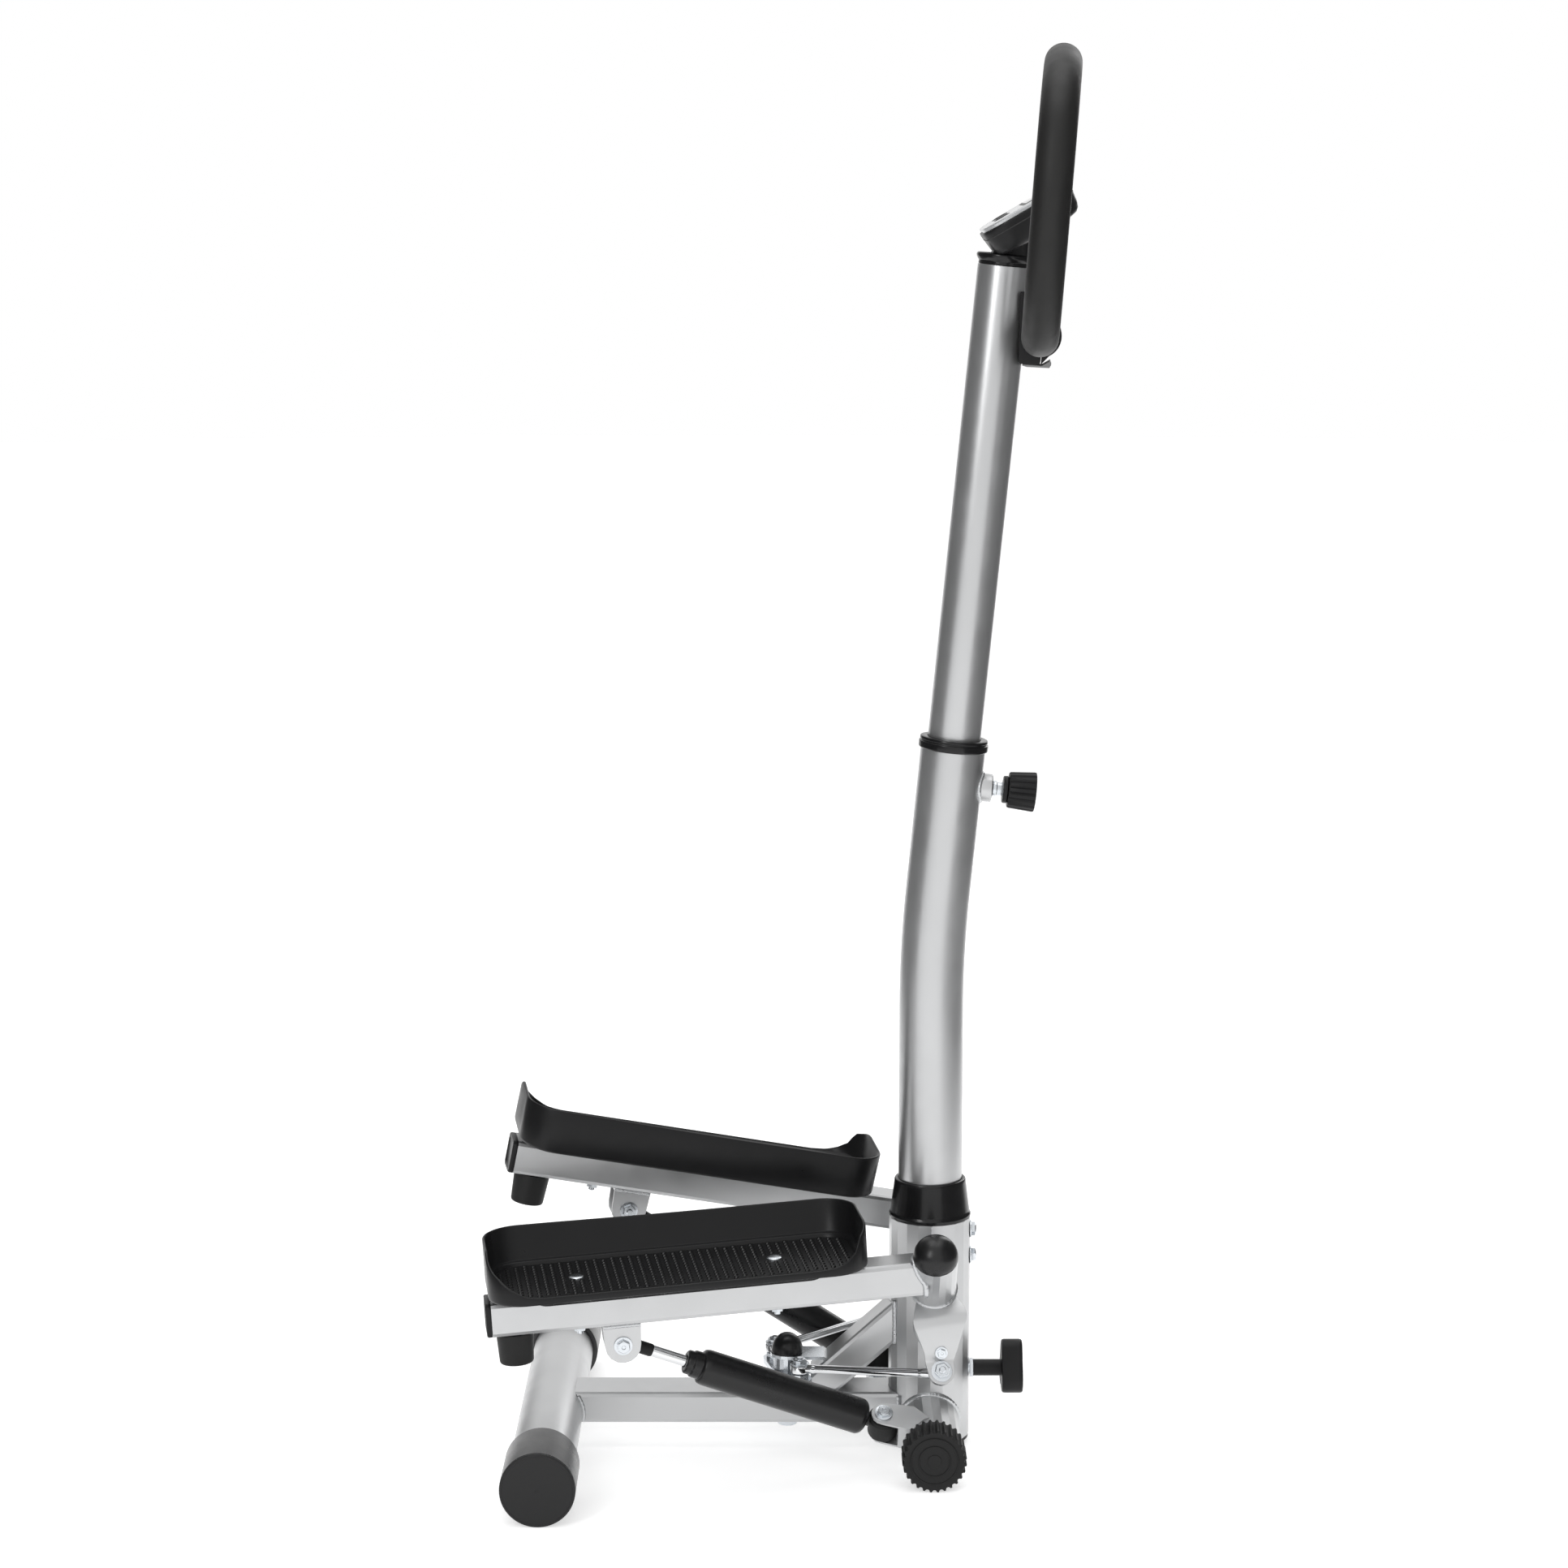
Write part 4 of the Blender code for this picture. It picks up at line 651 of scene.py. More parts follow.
def build_tension_knob():
    """A three-lobed knob on a stem and a zinc nut."""
    axis = along((MAST_X, 0, 0.0713), (1, 0, 0))
    bm = bmesh.new()
    add_lathe(bm, fillet([(0.0079, 0.0424), (0.0079, 0.0690), (0.0096, 0.0698), (0.0, 0.0698)], 0.0008), 40)
    levels = ((0.0692, 0.80), (0.0690, 0.93), (0.0698, 0.985), (0.0720, 1.0), (0.0860, 1.0), (0.0880, 0.985),
              (0.0889, 0.94), (0.0890, 0.84), (0.0886, 0.78), (0.0886, 0.30))
    add_solid(bm, ring_rows(bm, levels, 160, lambda level, i, angle: level[1] * (
        KNOB_RADIUS + KNOB_LOBE * math.cos(3 * (angle - math.pi / 2)))))
    obj = shape("tension_knob_moulding", bm, "black_plastic", axis, sharp=42)
    piece(obj, "tension_knob", "black_plastic", "tension_knob")
    bm = bmesh.new()
    add_prism(bm, hexagon(0.0092, 0.3), 0.0390, 0.0423)
    add_lathe(bm, [(0.0049, 0.027), (0.0049, 0.0430)], 24)
    nut = shape("tension_knob_nut", bm, "zinc", axis, bevel=0.0004)
    piece(nut, "tension_knob", "zinc")


def tube_path(start_z, end):
    """Middle line of the lower mast tube."""
    reach = 0.055
    start = MAST_VERTEX - Vector((0, 0, reach))
    radius = reach / math.tan(MAST_LEAN / 2)
    centre = start + Vector((radius, 0, 0))
    path = [Vector((MAST_X, 0, start_z))]
    for i in range(17):
        angle = MAST_LEAN * i / 16
        path.append(centre + Vector((-radius * math.cos(angle), 0, radius * math.sin(angle))))
    path.append(MAST_VERTEX + mast_direction() * end)
    return path


def build_mast():
    path = tube_path(0.2165, LOWER_END)
    bm = bmesh.new()
    add_sweep(bm, path, Vector((0, 1, 0)), [LOWER_RADIUS] * len(path), 80)
    tube = shape("lower_tube_skin", bm, "silver", sharp=60)
    piece(tube, "base", "silver", "mast_lower_tube")
    frame = mast_frame()
    forwards = frame @ Matrix.Translation((0, 0, HEIGHT_KNOB_AT)) @ Matrix.Rotation(math.pi / 2, 4, "Y")
    boss = [(BOSS_RADIUS, 0.0285), (BOSS_RADIUS, 0.0392), (0.0122, 0.0398), (0.0072, 0.0398),
            (0.0068, 0.0390), (0.0068, 0.0285)]
    piece(lathe("knob_boss", boss, "silver", forwards, 0.0004, 48, ring=True), "base", "silver")
    path = []
    for angle in full_turn(40):
        x, y = polar(BOSS_RADIUS, angle)
        path.append(forwards @ Vector((x, y, math.sqrt((LOWER_RADIUS + 0.0002) ** 2 - y * y))))
    weld("weld_knob_boss", path, forwards.to_3x3() @ Vector((0, 0, 1)), "base", 0.0021)
    top = LOWER_END + 0.0003
    bore = UPPER_RADIUS + 0.0005
    profile = [
        (0.0272, top - 0.010), (0.0272, top), (0.0316, top), (0.0324, top + 0.0010), (0.0324, top + 0.0064),
        (0.0312, top + 0.0070), (0.0312, top + 0.0078), (0.0318, top + 0.0086), (0.0314, top + 0.0108),
        (0.0296, top + 0.0112), (bore, top + 0.0112), (bore, top - 0.010)]
    collar = lathe("mast_collar_shell", profile, "gloss_black", frame, 0.0005, 72, ring=True)
    piece(collar, "base", "black_plastic", "mast_collar")
    build_height_knob(forwards)
    profile = [(UPPER_RADIUS, 0.085), (UPPER_RADIUS, UPPER_END), (UPPER_RADIUS - 0.002, UPPER_END),
               (UPPER_RADIUS - 0.002, 0.085)]
    tube = lathe("upper_tube_skin", profile, "silver", frame, 0.0005, 80, ring=True)
    piece(tube, "mast", "silver", "mast_upper_tube")


def build_height_knob(axis):
    """A knurled knob, narrower towards the mast, on a zinc pin."""
    bm = bmesh.new()
    teeth = 18
    levels = ((0.0548, 0.60, 0.0), (0.0550, 0.860, 0.4), (0.0562, 0.905, 1.0), (0.0680, 0.955, 1.0),
              (0.0785, 1.0, 1.0), (0.0800, 0.985, 0.6), (0.0804, 0.93, 0.2), (0.0804, 0.80, 0.0),
              (0.0797, 0.74, 0.0), (0.0797, 0.2, 0.0))

    def radius(level, i, angle):
        wave = 0.5 + 0.5 * math.cos(angle * teeth)
        return 0.0186 * level[1] - 0.0014 * level[2] * (1 - min(wave * 2.2, 1))

    add_solid(bm, ring_rows(bm, levels, teeth * 8, radius))
    add_lathe(bm, fillet([(0.0122, 0.0500), (0.0128, 0.0512), (0.0128, 0.0540), (0.0105, 0.0552),
                          (0, 0.0552)], 0.0005), 48)
    knob = shape("height_knob_moulding", bm, "black_plastic", axis, sharp=38)
    piece(knob, "height_knob", "black_plastic", "height_knob")
    profile = [(0.0058, 0.0262), (0.0064, 0.0272), (0.0064, 0.0404), (0.0072, 0.0406), (0.0072, 0.0440),
               (0.0062, 0.0444), (0.0062, 0.0505), (0, 0.0505)]
    pin = lathe("height_knob_pin", profile, "zinc", axis, 0.0003, 40)
    piece(pin, "height_knob", "zinc")


# ---------------------------------------------------------------- console

def console_frame():
    return Matrix.Translation(CONSOLE_CENTRE) @ Matrix.Rotation(-CONSOLE_TILT, 4, "Y")


def loft(name, outline, levels, material, matrix, sharp=35):
    """Stack scaled copies of an outline: levels of (scale, height)."""
    bm = bmesh.new()
    rows = [[bm.verts.new((x * s, y * s, z)) for x, y in outline] for s, z in levels]
    add_solid(bm, rows)
    return shape(name, bm, material, matrix, sharp)


def build_console():
    frame = console_frame()
    outline = rounded_rectangle(0.090, 0.100, 0.026, 10)
    levels = ((0.50, -0.0205), (0.74, -0.0215), (0.86, -0.0200), (0.925, -0.0172), (0.960, -0.0130),
              (0.985, -0.0040),
              (0.998, 0.0006), (1.0, 0.0024), (0.999, 0.0036), (0.992, 0.0044), (0.975, 0.0046))
    body = loft("console_case", outline, levels, "black_plastic", frame)
    piece(body, "mast", "black_plastic", "console_body")
    seam = [(x * 0.9815, y * 0.9815) for x, y in outline]
    bm = bmesh.new()
    add_sweep(bm, [Vector((x, y, -0.0022)) for x, y in seam], Vector((0, 0, 1)), [0.0007] * len(seam), 8,
              True)
    piece(shape("console_seam", bm, "hollow", frame), "mast", "black_plastic")
    face_outline = rounded_rectangle(0.0865, 0.0965, 0.0245, 10)
    face = loft("console_panel", face_outline,
                ((0.985, 0.0044), (1.0, 0.0050), (1.0, 0.0072), (0.985, 0.0082),
                                                (0.955, 0.0086), (0.90, 0.0087)), "console_silver", frame)
    piece(face, "mast", "console_silver", "console_face")
    window = Matrix.Translation((0.019, 0, 0))
    bezel = rounded_rectangle(0.040, 0.068, 0.005, 5)
    obj = loft("display_bezel", bezel, ((1.0, 0.0080), (1.0, 0.0088), (0.97, 0.0091), (0.90, 0.0089)),
               "black_plastic", frame @ window)
    piece(obj, "mast", "black_plastic")
    glass = rounded_rectangle(0.033, 0.060, 0.002, 3)
    obj = loft("display_glass", glass, ((1.0, 0.0086), (1.0, 0.0091), (0.985, 0.0092)), "display",
               frame @ window)
    piece(obj, "mast", "display", "console_display")
    for side, label in SIDES:
        spot = frame @ Matrix.Translation((-0.022, side * 0.016, 0))
        profile = [(0.0064, 0.0076), (0.0066, 0.0088), (0.0056, 0.0095), (0.0030, 0.0094), (0, 0.0093)]
        button = lathe("button_" + label, profile, "black_plastic", spot, 0.0005, 36)
        piece(button, "console_button_" + label, "black_plastic", "console_button_" + label)
        ring = [(0.0082, 0.0082), (0.0080, 0.0090), (0.0070, 0.0091), (0.0068, 0.0082)]
        piece(lathe("button_ring_" + label, ring, "black_plastic", spot, 0.0003, 40, ring=True),
              "mast", "black_plastic")
    mast = mast_frame()
    top = UPPER_END + 0.0003
    profile = [
        (0.0222, UPPER_END - 0.020), (0.0222, top), (0.0243, top), (0.0240, top + 0.0030),
        (0.0248, top + 0.0040),
        (0.0262, top + 0.0062), (0.0266, top + 0.0082), (0.0262, top + 0.0096), (0.0250, top + 0.0104),
        (0.0150, top + 0.0106)]
    piece(lathe("console_plug_shell", profile, "gloss_black", mast, 0.0006, 64), "mast", "black_plastic",
          "console_plug")
    neck = rounded_rectangle(0.034, 0.040, 0.008, 5)
    obj = loft("console_neck", neck, ((1.0, top + 0.0100), (0.92, top + 0.0180), (1.0, top + 0.0285)),
               "black_plastic", mast @ Matrix.Translation((0.004, 0, 0)))
    piece(obj, "mast", "black_plastic")


# ---------------------------------------------------------------- handlebar

def handle_outline(steps=6):
    """Half of the loop's middle line, from its lowest to its highest point."""
    points = ((0, 0), (0.038, 0), (0.076, 0.0005), (0.118, 0.010), (0.158, 0.045), (0.184, 0.092),
              (0.194, 0.138),
              (0.184, 0.182), (0.155, 0.214), (0.110, 0.234), (0.055, 0.2425), (0, 0.2435))
    control = [(-points[1][0], points[1][1])] + list(points) + [(-points[-2][0], points[-2][1])]
    control = [Vector(p) for p in control]
    curve = []
    for i in range(1, len(control) - 2):
        a, b, c, d = control[i - 1:i + 3]
        for k in range(steps):
            t = k / steps
            curve.append(0.5 * (2 * b + (c - a) * t + (2 * a - 5 * b + 4 * c - d) * t ** 2
                                + (3 * b - a - 3 * c + d) * t ** 3))
    return curve + [control[-2]]


def build_handlebar():
    frame = handle_frame()
    half = handle_outline()
    front = Vector((1, 0, 0))
    for side, label in SIDES:
        path = [Vector((0, side * y, z)) for y, z in half if y > GRIP_START]
        path = [Vector((0, side * GRIP_START, 0))] + path + [Vector((0, side * 0.0004, half[-1].y))]
        lead = path[0] + (path[1] - path[0]).normalized() * 0.0025
        path = [path[0], lead] + path[1:]
        radii = [GRIP_RADIUS - 0.0022] + [GRIP_RADIUS - 0.0001] * (len(path) - 1)
        bm = bmesh.new()
        add_sweep(bm, path, front, radii, 40)
        grip = shape("foam_grip_" + label, bm, "foam", frame, sharp=60)
        piece(grip, "mast", "foam", "handlebar_grip_" + label)
        ring = [Vector((0, side * (GRIP_START - 0.0058), 0)), Vector((0, side * (GRIP_START - 0.0002), 0))]
        bm = bmesh.new()
        add_sweep(bm, ring, front, [0.0142, 0.0142], 36)
        piece(shape("grip_end_ring_" + label, bm, "gloss_black", frame, sharp=40), "mast", "foam")
    build_clamp(frame)


def build_clamp(frame):
    """The cradle on the mast, its front cap, the pale lip plate under them and two small screws."""
    half = CLAMP_HALF_WIDTH
    seam = 0.002
    rear = [(seam, -0.0262), (seam, 0.0175), (-0.006, 0.0330), (-0.0160, 0.0388), (-0.0215, 0.0388),
            (-0.0180, -0.0262)]
    bm = bmesh.new()
    add_prism(bm, fillet(rear, 0.004, closed=True, steps=4), -half, half)
    obj = shape("clamp_cradle", bm, "black_plastic", frame @ side_view(), bevel=0.0012, segments=3)
    piece(obj, "mast", "black_plastic", "handle_clamp")
    reach = 0.0185
    front = [(seam + 0.0004, -0.0255)]
    for i in range(17):
        angle = math.radians(-62 + 124 * i / 16)
        front.append((0.0008 + reach * math.cos(angle), reach * 1.05 * math.sin(angle)))
    front += [(0.0050, 0.0215), (seam + 0.0004, 0.0215)]
    bm = bmesh.new()
    add_prism(bm, front, -half, half)
    obj = shape("clamp_front", bm, "black_plastic", frame @ side_view(), bevel=0.0012, segments=3)
    piece(obj, "mast", "black_plastic", "handle_clamp_cap")
    lip = [(-0.0130, -0.0262), (0.0035, -0.0262), (0.0105, -0.0215), (0.0120, -0.0245), (0.0105, -0.0280),
           (-0.0100, -0.0285), (-0.0145, -0.0275)]
    bm = bmesh.new()
    add_prism(bm, lip, -half + 0.001, half - 0.001)
    piece(shape("clamp_lip_plate", bm, "lip_plate", frame @ side_view(), bevel=0.0005), "mast",
          "black_plastic")
    screw = [(0.0034, -0.004), (0.0034, 0.0008), (0.0022, 0.0016), (0, 0.0017)]
    for side, label in SIDES:
        matrix = frame @ along((0.0072, side * 0.0150, 0.0205), (1, 0, 0.35))
        piece(lathe("clamp_screw_%s_high" % label, screw, "zinc", matrix, 0.0006, 24), "mast", "zinc")


# ---------------------------------------------------------------- footplates

PLATE_ROLL = {-1: 0.0, 1: math.radians(3.2)}     # the left tray stands with its outer edge a little up
REAR_RIM = ((0.0, 0.056), (0.003, 0.0535), (0.019, 0.0395), (0.032, 0.0325), (0.045, 0.0305))
FRONT_RIM = ((0.0, 0.060), (0.008, 0.0555), (0.013, 0.0435), (0.022, 0.0360), (0.032, 0.0320),
             (0.047, 0.0305))


def rim_height(x, y, side):
    """Rim height over a point of the outline: high inside and at the ends, a low lip outside."""
    outward = side * y / PLATE_HALF_WIDTH
    rear, front = x - PLATE_REAR, PLATE_FRONT - x
    along_plate = rear / (PLATE_FRONT - PLATE_REAR)
    inside = 0.0660 - 0.0020 * smooth(1.6 * along_plate)
    if outward <= 0.25:
        return inside
    curve = interpolate(REAR_RIM, rear) if rear < front else interpolate(FRONT_RIM, front)
    blend = smooth((outward - 0.25) / 0.5)
    return inside * (1 - blend) + curve * blend


def plate_loop(inset, corner_steps=12, straight=40):
    """The plate's outline moved in, with the same number of points whatever the inset."""
    length = PLATE_FRONT - PLATE_REAR - 2 * inset
    width = 2 * (PLATE_HALF_WIDTH - inset)
    middle = (PLATE_FRONT + PLATE_REAR) / 2
    corners = rounded_rectangle(length, width, max(0.034 - inset, 0.006), corner_steps)
    points = []
    for i, (x, y) in enumerate(corners):
        points.append((x + middle, y))
        nx, ny = corners[(i + 1) % len(corners)]
        if (i + 1) % (corner_steps + 1) == 0:
            parts = straight if abs(nx - x) > abs(ny - y) else 12
            for k in range(1, parts):
                t = k / parts
                points.append((x + (nx - x) * t + middle, y + (ny - y) * t))
    return points


def build_footplate(side, label):
    """A moulded tray with a rounded rim, a tread of staggered studs, a ribbed skirt and two screws."""
    arm = arm_frame(side)
    top = Matrix.Translation((0, 0, PLATE_FLOOR))
    frame = arm @ top @ Matrix.Rotation(PLATE_ROLL[side], 4, "X") @ top.inverted()
    body = "%s_pedal" % label
    outer = plate_loop(0.0)
    tops = [rim_height(x, y, side) for x, y in outer]
    bm = bmesh.new()
    rows = []
    shapes = (
        (0.0018, lambda t: PLATE_UNDER), (0.0004, lambda t: PLATE_UNDER + 0.0012),
        (0.0, lambda t: PLATE_UNDER + 0.0030), (0.0, lambda t: t - min(0.0012, (t - PLATE_FLOOR) * 0.5)),
        (0.0004, lambda t: t - min(0.0004, (t - PLATE_FLOOR) * 0.2)), (0.0013, lambda t: t),
        (0.0022, lambda t: t - min(0.0004, (t - PLATE_FLOOR) * 0.2)),
        (0.0027, lambda t: t - min(0.0014, (t - PLATE_FLOOR) * 0.5)),
        (0.0036, lambda t: PLATE_FLOOR + min(0.0050, (t - PLATE_FLOOR) * 0.40)),
        (0.0044, lambda t: PLATE_FLOOR + min(0.0042, (t - PLATE_FLOOR) * 0.30)),
        (0.0072, lambda t: PLATE_FLOOR + min(0.0038, (t - PLATE_FLOOR) * 0.26)),
        (0.0082, lambda t: PLATE_FLOOR + min(0.0030, (t - PLATE_FLOOR) * 0.20)),
        (0.0094, lambda t: PLATE_FLOOR + 0.0001), (0.0110, lambda t: PLATE_FLOOR))
    for inset, height in shapes:
        rows.append([bm.verts.new((x, y, height(t))) for (x, y), t in zip(plate_loop(inset), tops)])
    add_solid(bm, rows)
    plate = shape("footplate_tray_" + label, bm, "plate", frame, sharp=60)
    piece(plate, body, "black_plastic", "footplate_" + label)

    bm = bmesh.new()
    half = PLATE_HALF_WIDTH - 0.0120
    studs = [polar(1, math.pi * k / 4) for k in range(8)]
    for i in range(int((PLATE_FRONT - PLATE_REAR - 0.026) / STUD_PITCH_X) + 1):
        x = PLATE_REAR + 0.0135 + i * STUD_PITCH_X
        for j in range(int(2 * half / STUD_PITCH_Y) + 1):
            y = -half + (j + (0.5 if i % 2 else 0.0)) * STUD_PITCH_Y
            from_end = min(x - PLATE_REAR, PLATE_FRONT - x)
            corner = max(abs(y) - 0.026, 0)
            if abs(y) > half or (from_end < 0.034 and math.hypot(0.034 - from_end, corner) > 0.0225):
                continue
            if any(math.hypot(x - b, y) < 0.0105 for b in PLATE_BOLTS_X):
                continue
            low = [bm.verts.new((x + 0.0026 * a, y + 0.0024 * b, PLATE_FLOOR - 0.0002)) for a, b in studs]
            high = [bm.verts.new((x + 0.0017 * a, y + 0.0013 * b, PLATE_FLOOR + 0.0015)) for a, b in studs]
            bridge(bm, [low, high])
            bm.faces.new(high)
    tread = shape("footplate_tread_" + label, bm, "plate", frame, sharp=20)
    piece(tread, body, "black_plastic")

    bm = bmesh.new()
    frame = arm
    middle = (-0.372 - 0.108) / 2
    outline = [(x + middle, y) for x, y in rounded_rectangle(0.264, 0.084, 0.010, 4)]
    low, high = ARM_HEIGHT / 2 + 0.0004, PLATE_UNDER + 0.0006
    rows = [[bm.verts.new((middle + (x - middle) * s, y * s, z)) for x, y in outline]
            for s, z in ((0.975, low), (0.985, low + 0.0008), (1.0, high))]
    add_solid(bm, rows)
    for i in range(8):
        x = -0.355 + i * 0.0334
        for edge in (-1, 1):
            outline = [(x - 0.0006, edge * 0.0405), (x + 0.0006, edge * 0.0405),
                       (x + 0.0006, edge * 0.0500), (x - 0.0006, edge * 0.0500)]
            rows = [[bm.verts.new((a, min(max(b, -0.0440), 0.0440) if z < high - 0.002 else b, z)) for a,
                     b in outline]
                    for z in (low + 0.0012, high)]
            add_solid(bm, rows)
    piece(shape("footplate_skirt_" + label, bm, "plate", frame, sharp=30), body, "black_plastic")

    bm = bmesh.new()
    for x in PLATE_BOLTS_X:
        spot = Matrix.Translation((x, 0, PLATE_FLOOR + 0.0003))
        add_lathe(bm, [(0.0072, -0.0006), (0.0070, 0.0005), (0.0058, 0.0012), (0.0035, 0.0016), (0, 0.0017)],
                  32, matrix=spot)
        under = Matrix.Translation((x, 0, -ARM_HEIGHT / 2))
        add_lathe(bm, [(0.0075, -0.0012), (0.0075, 0.0002)], 28, matrix=under)
        add_prism(bm, hexagon(0.0056, 0.4), -0.0056, -0.0011, under)
        add_lathe(bm, [(0.0, -0.0088), (0.0024, -0.0088), (0.0028, -0.0084), (0.0028, -0.0050)], 18,
                  matrix=under)
    piece(shape("footplate_screws_" + label, bm, "zinc", frame, sharp=35), body, "zinc")


# ---------------------------------------------------------------- pedal arms

def arm_weld_path(side):
    """Where the arm's rectangle runs into the sleeve: found along the arm for each point of its outline."""
    to_arm = Matrix.Rotation(PITCH, 3, "Y")
    axis = pivot_axis(side)
    path = []
    outline = rounded_rectangle(ARM_WIDTH + 0.0006, ARM_HEIGHT + 0.0006, 0.004, 4)
    dense = []
    for i, p in enumerate(outline):
        q = outline[(i + 1) % len(outline)]
        parts = max(1, round(math.dist(p, q) / 0.003))
        dense += [(p[0] + (q[0] - p[0]) * k / parts, p[1] + (q[1] - p[1]) * k / parts) for k in range(parts)]
    ahead = to_arm @ Vector((1, 0, 0))
    ahead_across = ahead - axis * ahead.dot(axis)
    for y, z in dense:
        base = to_arm @ Vector((0, y, z))
        off = base - axis * base.dot(axis)
        a = ahead_across.length_squared
        b = 2 * off.dot(ahead_across)
        c = off.length_squared - (SLEEVE_RADIUS + 0.0003) ** 2
        t = (-b - math.sqrt(max(b * b - 4 * a * c, 0))) / (2 * a)
        point = base + ahead * min(t, -0.0122)
        height = point.dot(axis)
        if SLEEVE_LOW <= height <= SLEEVE_HIGH:
            path.append(point)
        else:
            path.append(point + axis * (min(max(height, SLEEVE_LOW), SLEEVE_HIGH) - height))
    return path


def build_arm(side, label):
    body = "%s_pedal" % label
    frame = arm_frame(side)
    pedal = pedal_frame(side)
    weld("weld_sleeve_" + label, arm_weld_path(side), Vector((1, 0, 0)), body, 0.0026, matrix=pedal)
    upright = pedal @ along((0, 0, 0), pivot_axis(side))
    r = SLEEVE_RADIUS
    base = SLEEVE_HIGH + 0.0010
    dome = [(r - 0.0022, SLEEVE_HIGH - 0.0002), (r - 0.0022, base), (r - 0.0002, base),
            (r + 0.0001, base + 0.0005)]
    for i in range(19):
        angle = math.pi / 2 * i / 18
        dome.append((r * math.cos(angle), base + 0.0012 + 0.0185 * math.sin(angle)))
    dome[-1] = (0, dome[-1][1])
    piece(lathe("pivot_dome_" + label, dome, "satin_black", upright, 0.0001, 64), body, "gloss_black",
          "pivot_cap_" + label)
    outline = rounded_rectangle(ARM_WIDTH, ARM_HEIGHT, 0.005, 5)
    bm = bmesh.new()
    rows = [[bm.verts.new((x, y * s, z * s)) for y, z in outline]
            for s, x in ((0.99, ARM_REAR - 0.0003), (1.0, ARM_REAR - 0.0010), (1.0, ARM_REAR - 0.0038),
                         (0.96, ARM_REAR - 0.0050), (0.80, ARM_REAR - 0.0050), (0.76, ARM_REAR - 0.0044))]
    add_solid(bm, rows)
    piece(shape("arm_end_plug_" + label, bm, "black_plastic", frame, sharp=35), body, "black_plastic",
          "arm_plug_" + label)
    under = -ARM_HEIGHT / 2 - 0.0003
    foot = [(0.0120, under - FOOT_HEIGHT), (0.0150, under - FOOT_HEIGHT),
            (0.0156, under - FOOT_HEIGHT + 0.0015),
            (0.0172, under - 0.0012), (0.0168, under), (0.0, under), (0.0, under - FOOT_HEIGHT + 0.0020),
            (0.0118, under - FOOT_HEIGHT + 0.0016)]
    piece(lathe("foot_bumper_" + label, foot, "rubber", frame @ Matrix.Translation((FOOT_X, 0, 0)), 0.0008,
                56, ring=True),
          body, "rubber", "rubber_foot_" + label)
    build_clevis(side, label, frame, body)
    build_bracket(side, label, pedal, body)


def build_clevis(side, label, frame, body):
    spot = frame @ Matrix.Translation((CLEVIS_X, 0, 0))
    under = -ARM_HEIGHT / 2
    for edge in (-1, 1):
        path = [Vector((x, edge * 0.0156, under - 0.0008)) for x in (-0.0170, -0.006, 0.006, 0.0170)]
        weld("weld_clevis_%s_%d" % (label, edge + 1), path, Vector((0, 0, 1)), body, 0.0019, closed=False,
             matrix=spot)
    centre = spot @ Matrix.Translation((0, 0, -CLEVIS_DROP))
    for edge in (-1, 1):
        matrix = centre @ along((0, edge * 0.0144, 0), (0, edge, 0))
        bolt = hex_bolt("clevis_bolt_%s_%s" % (label, "outer" if edge == side else "inner"), matrix, body,
                        0.0066, 0.0052, 0.0086, 0.0030 if edge != side else 0.0, turn=0.5)
        if edge == side:
            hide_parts("clevis_bolt_" + label)
    pin("clevis_pin_" + label, centre @ along((0, 0, 0), (0, 1, 0)), body, 0.0146)


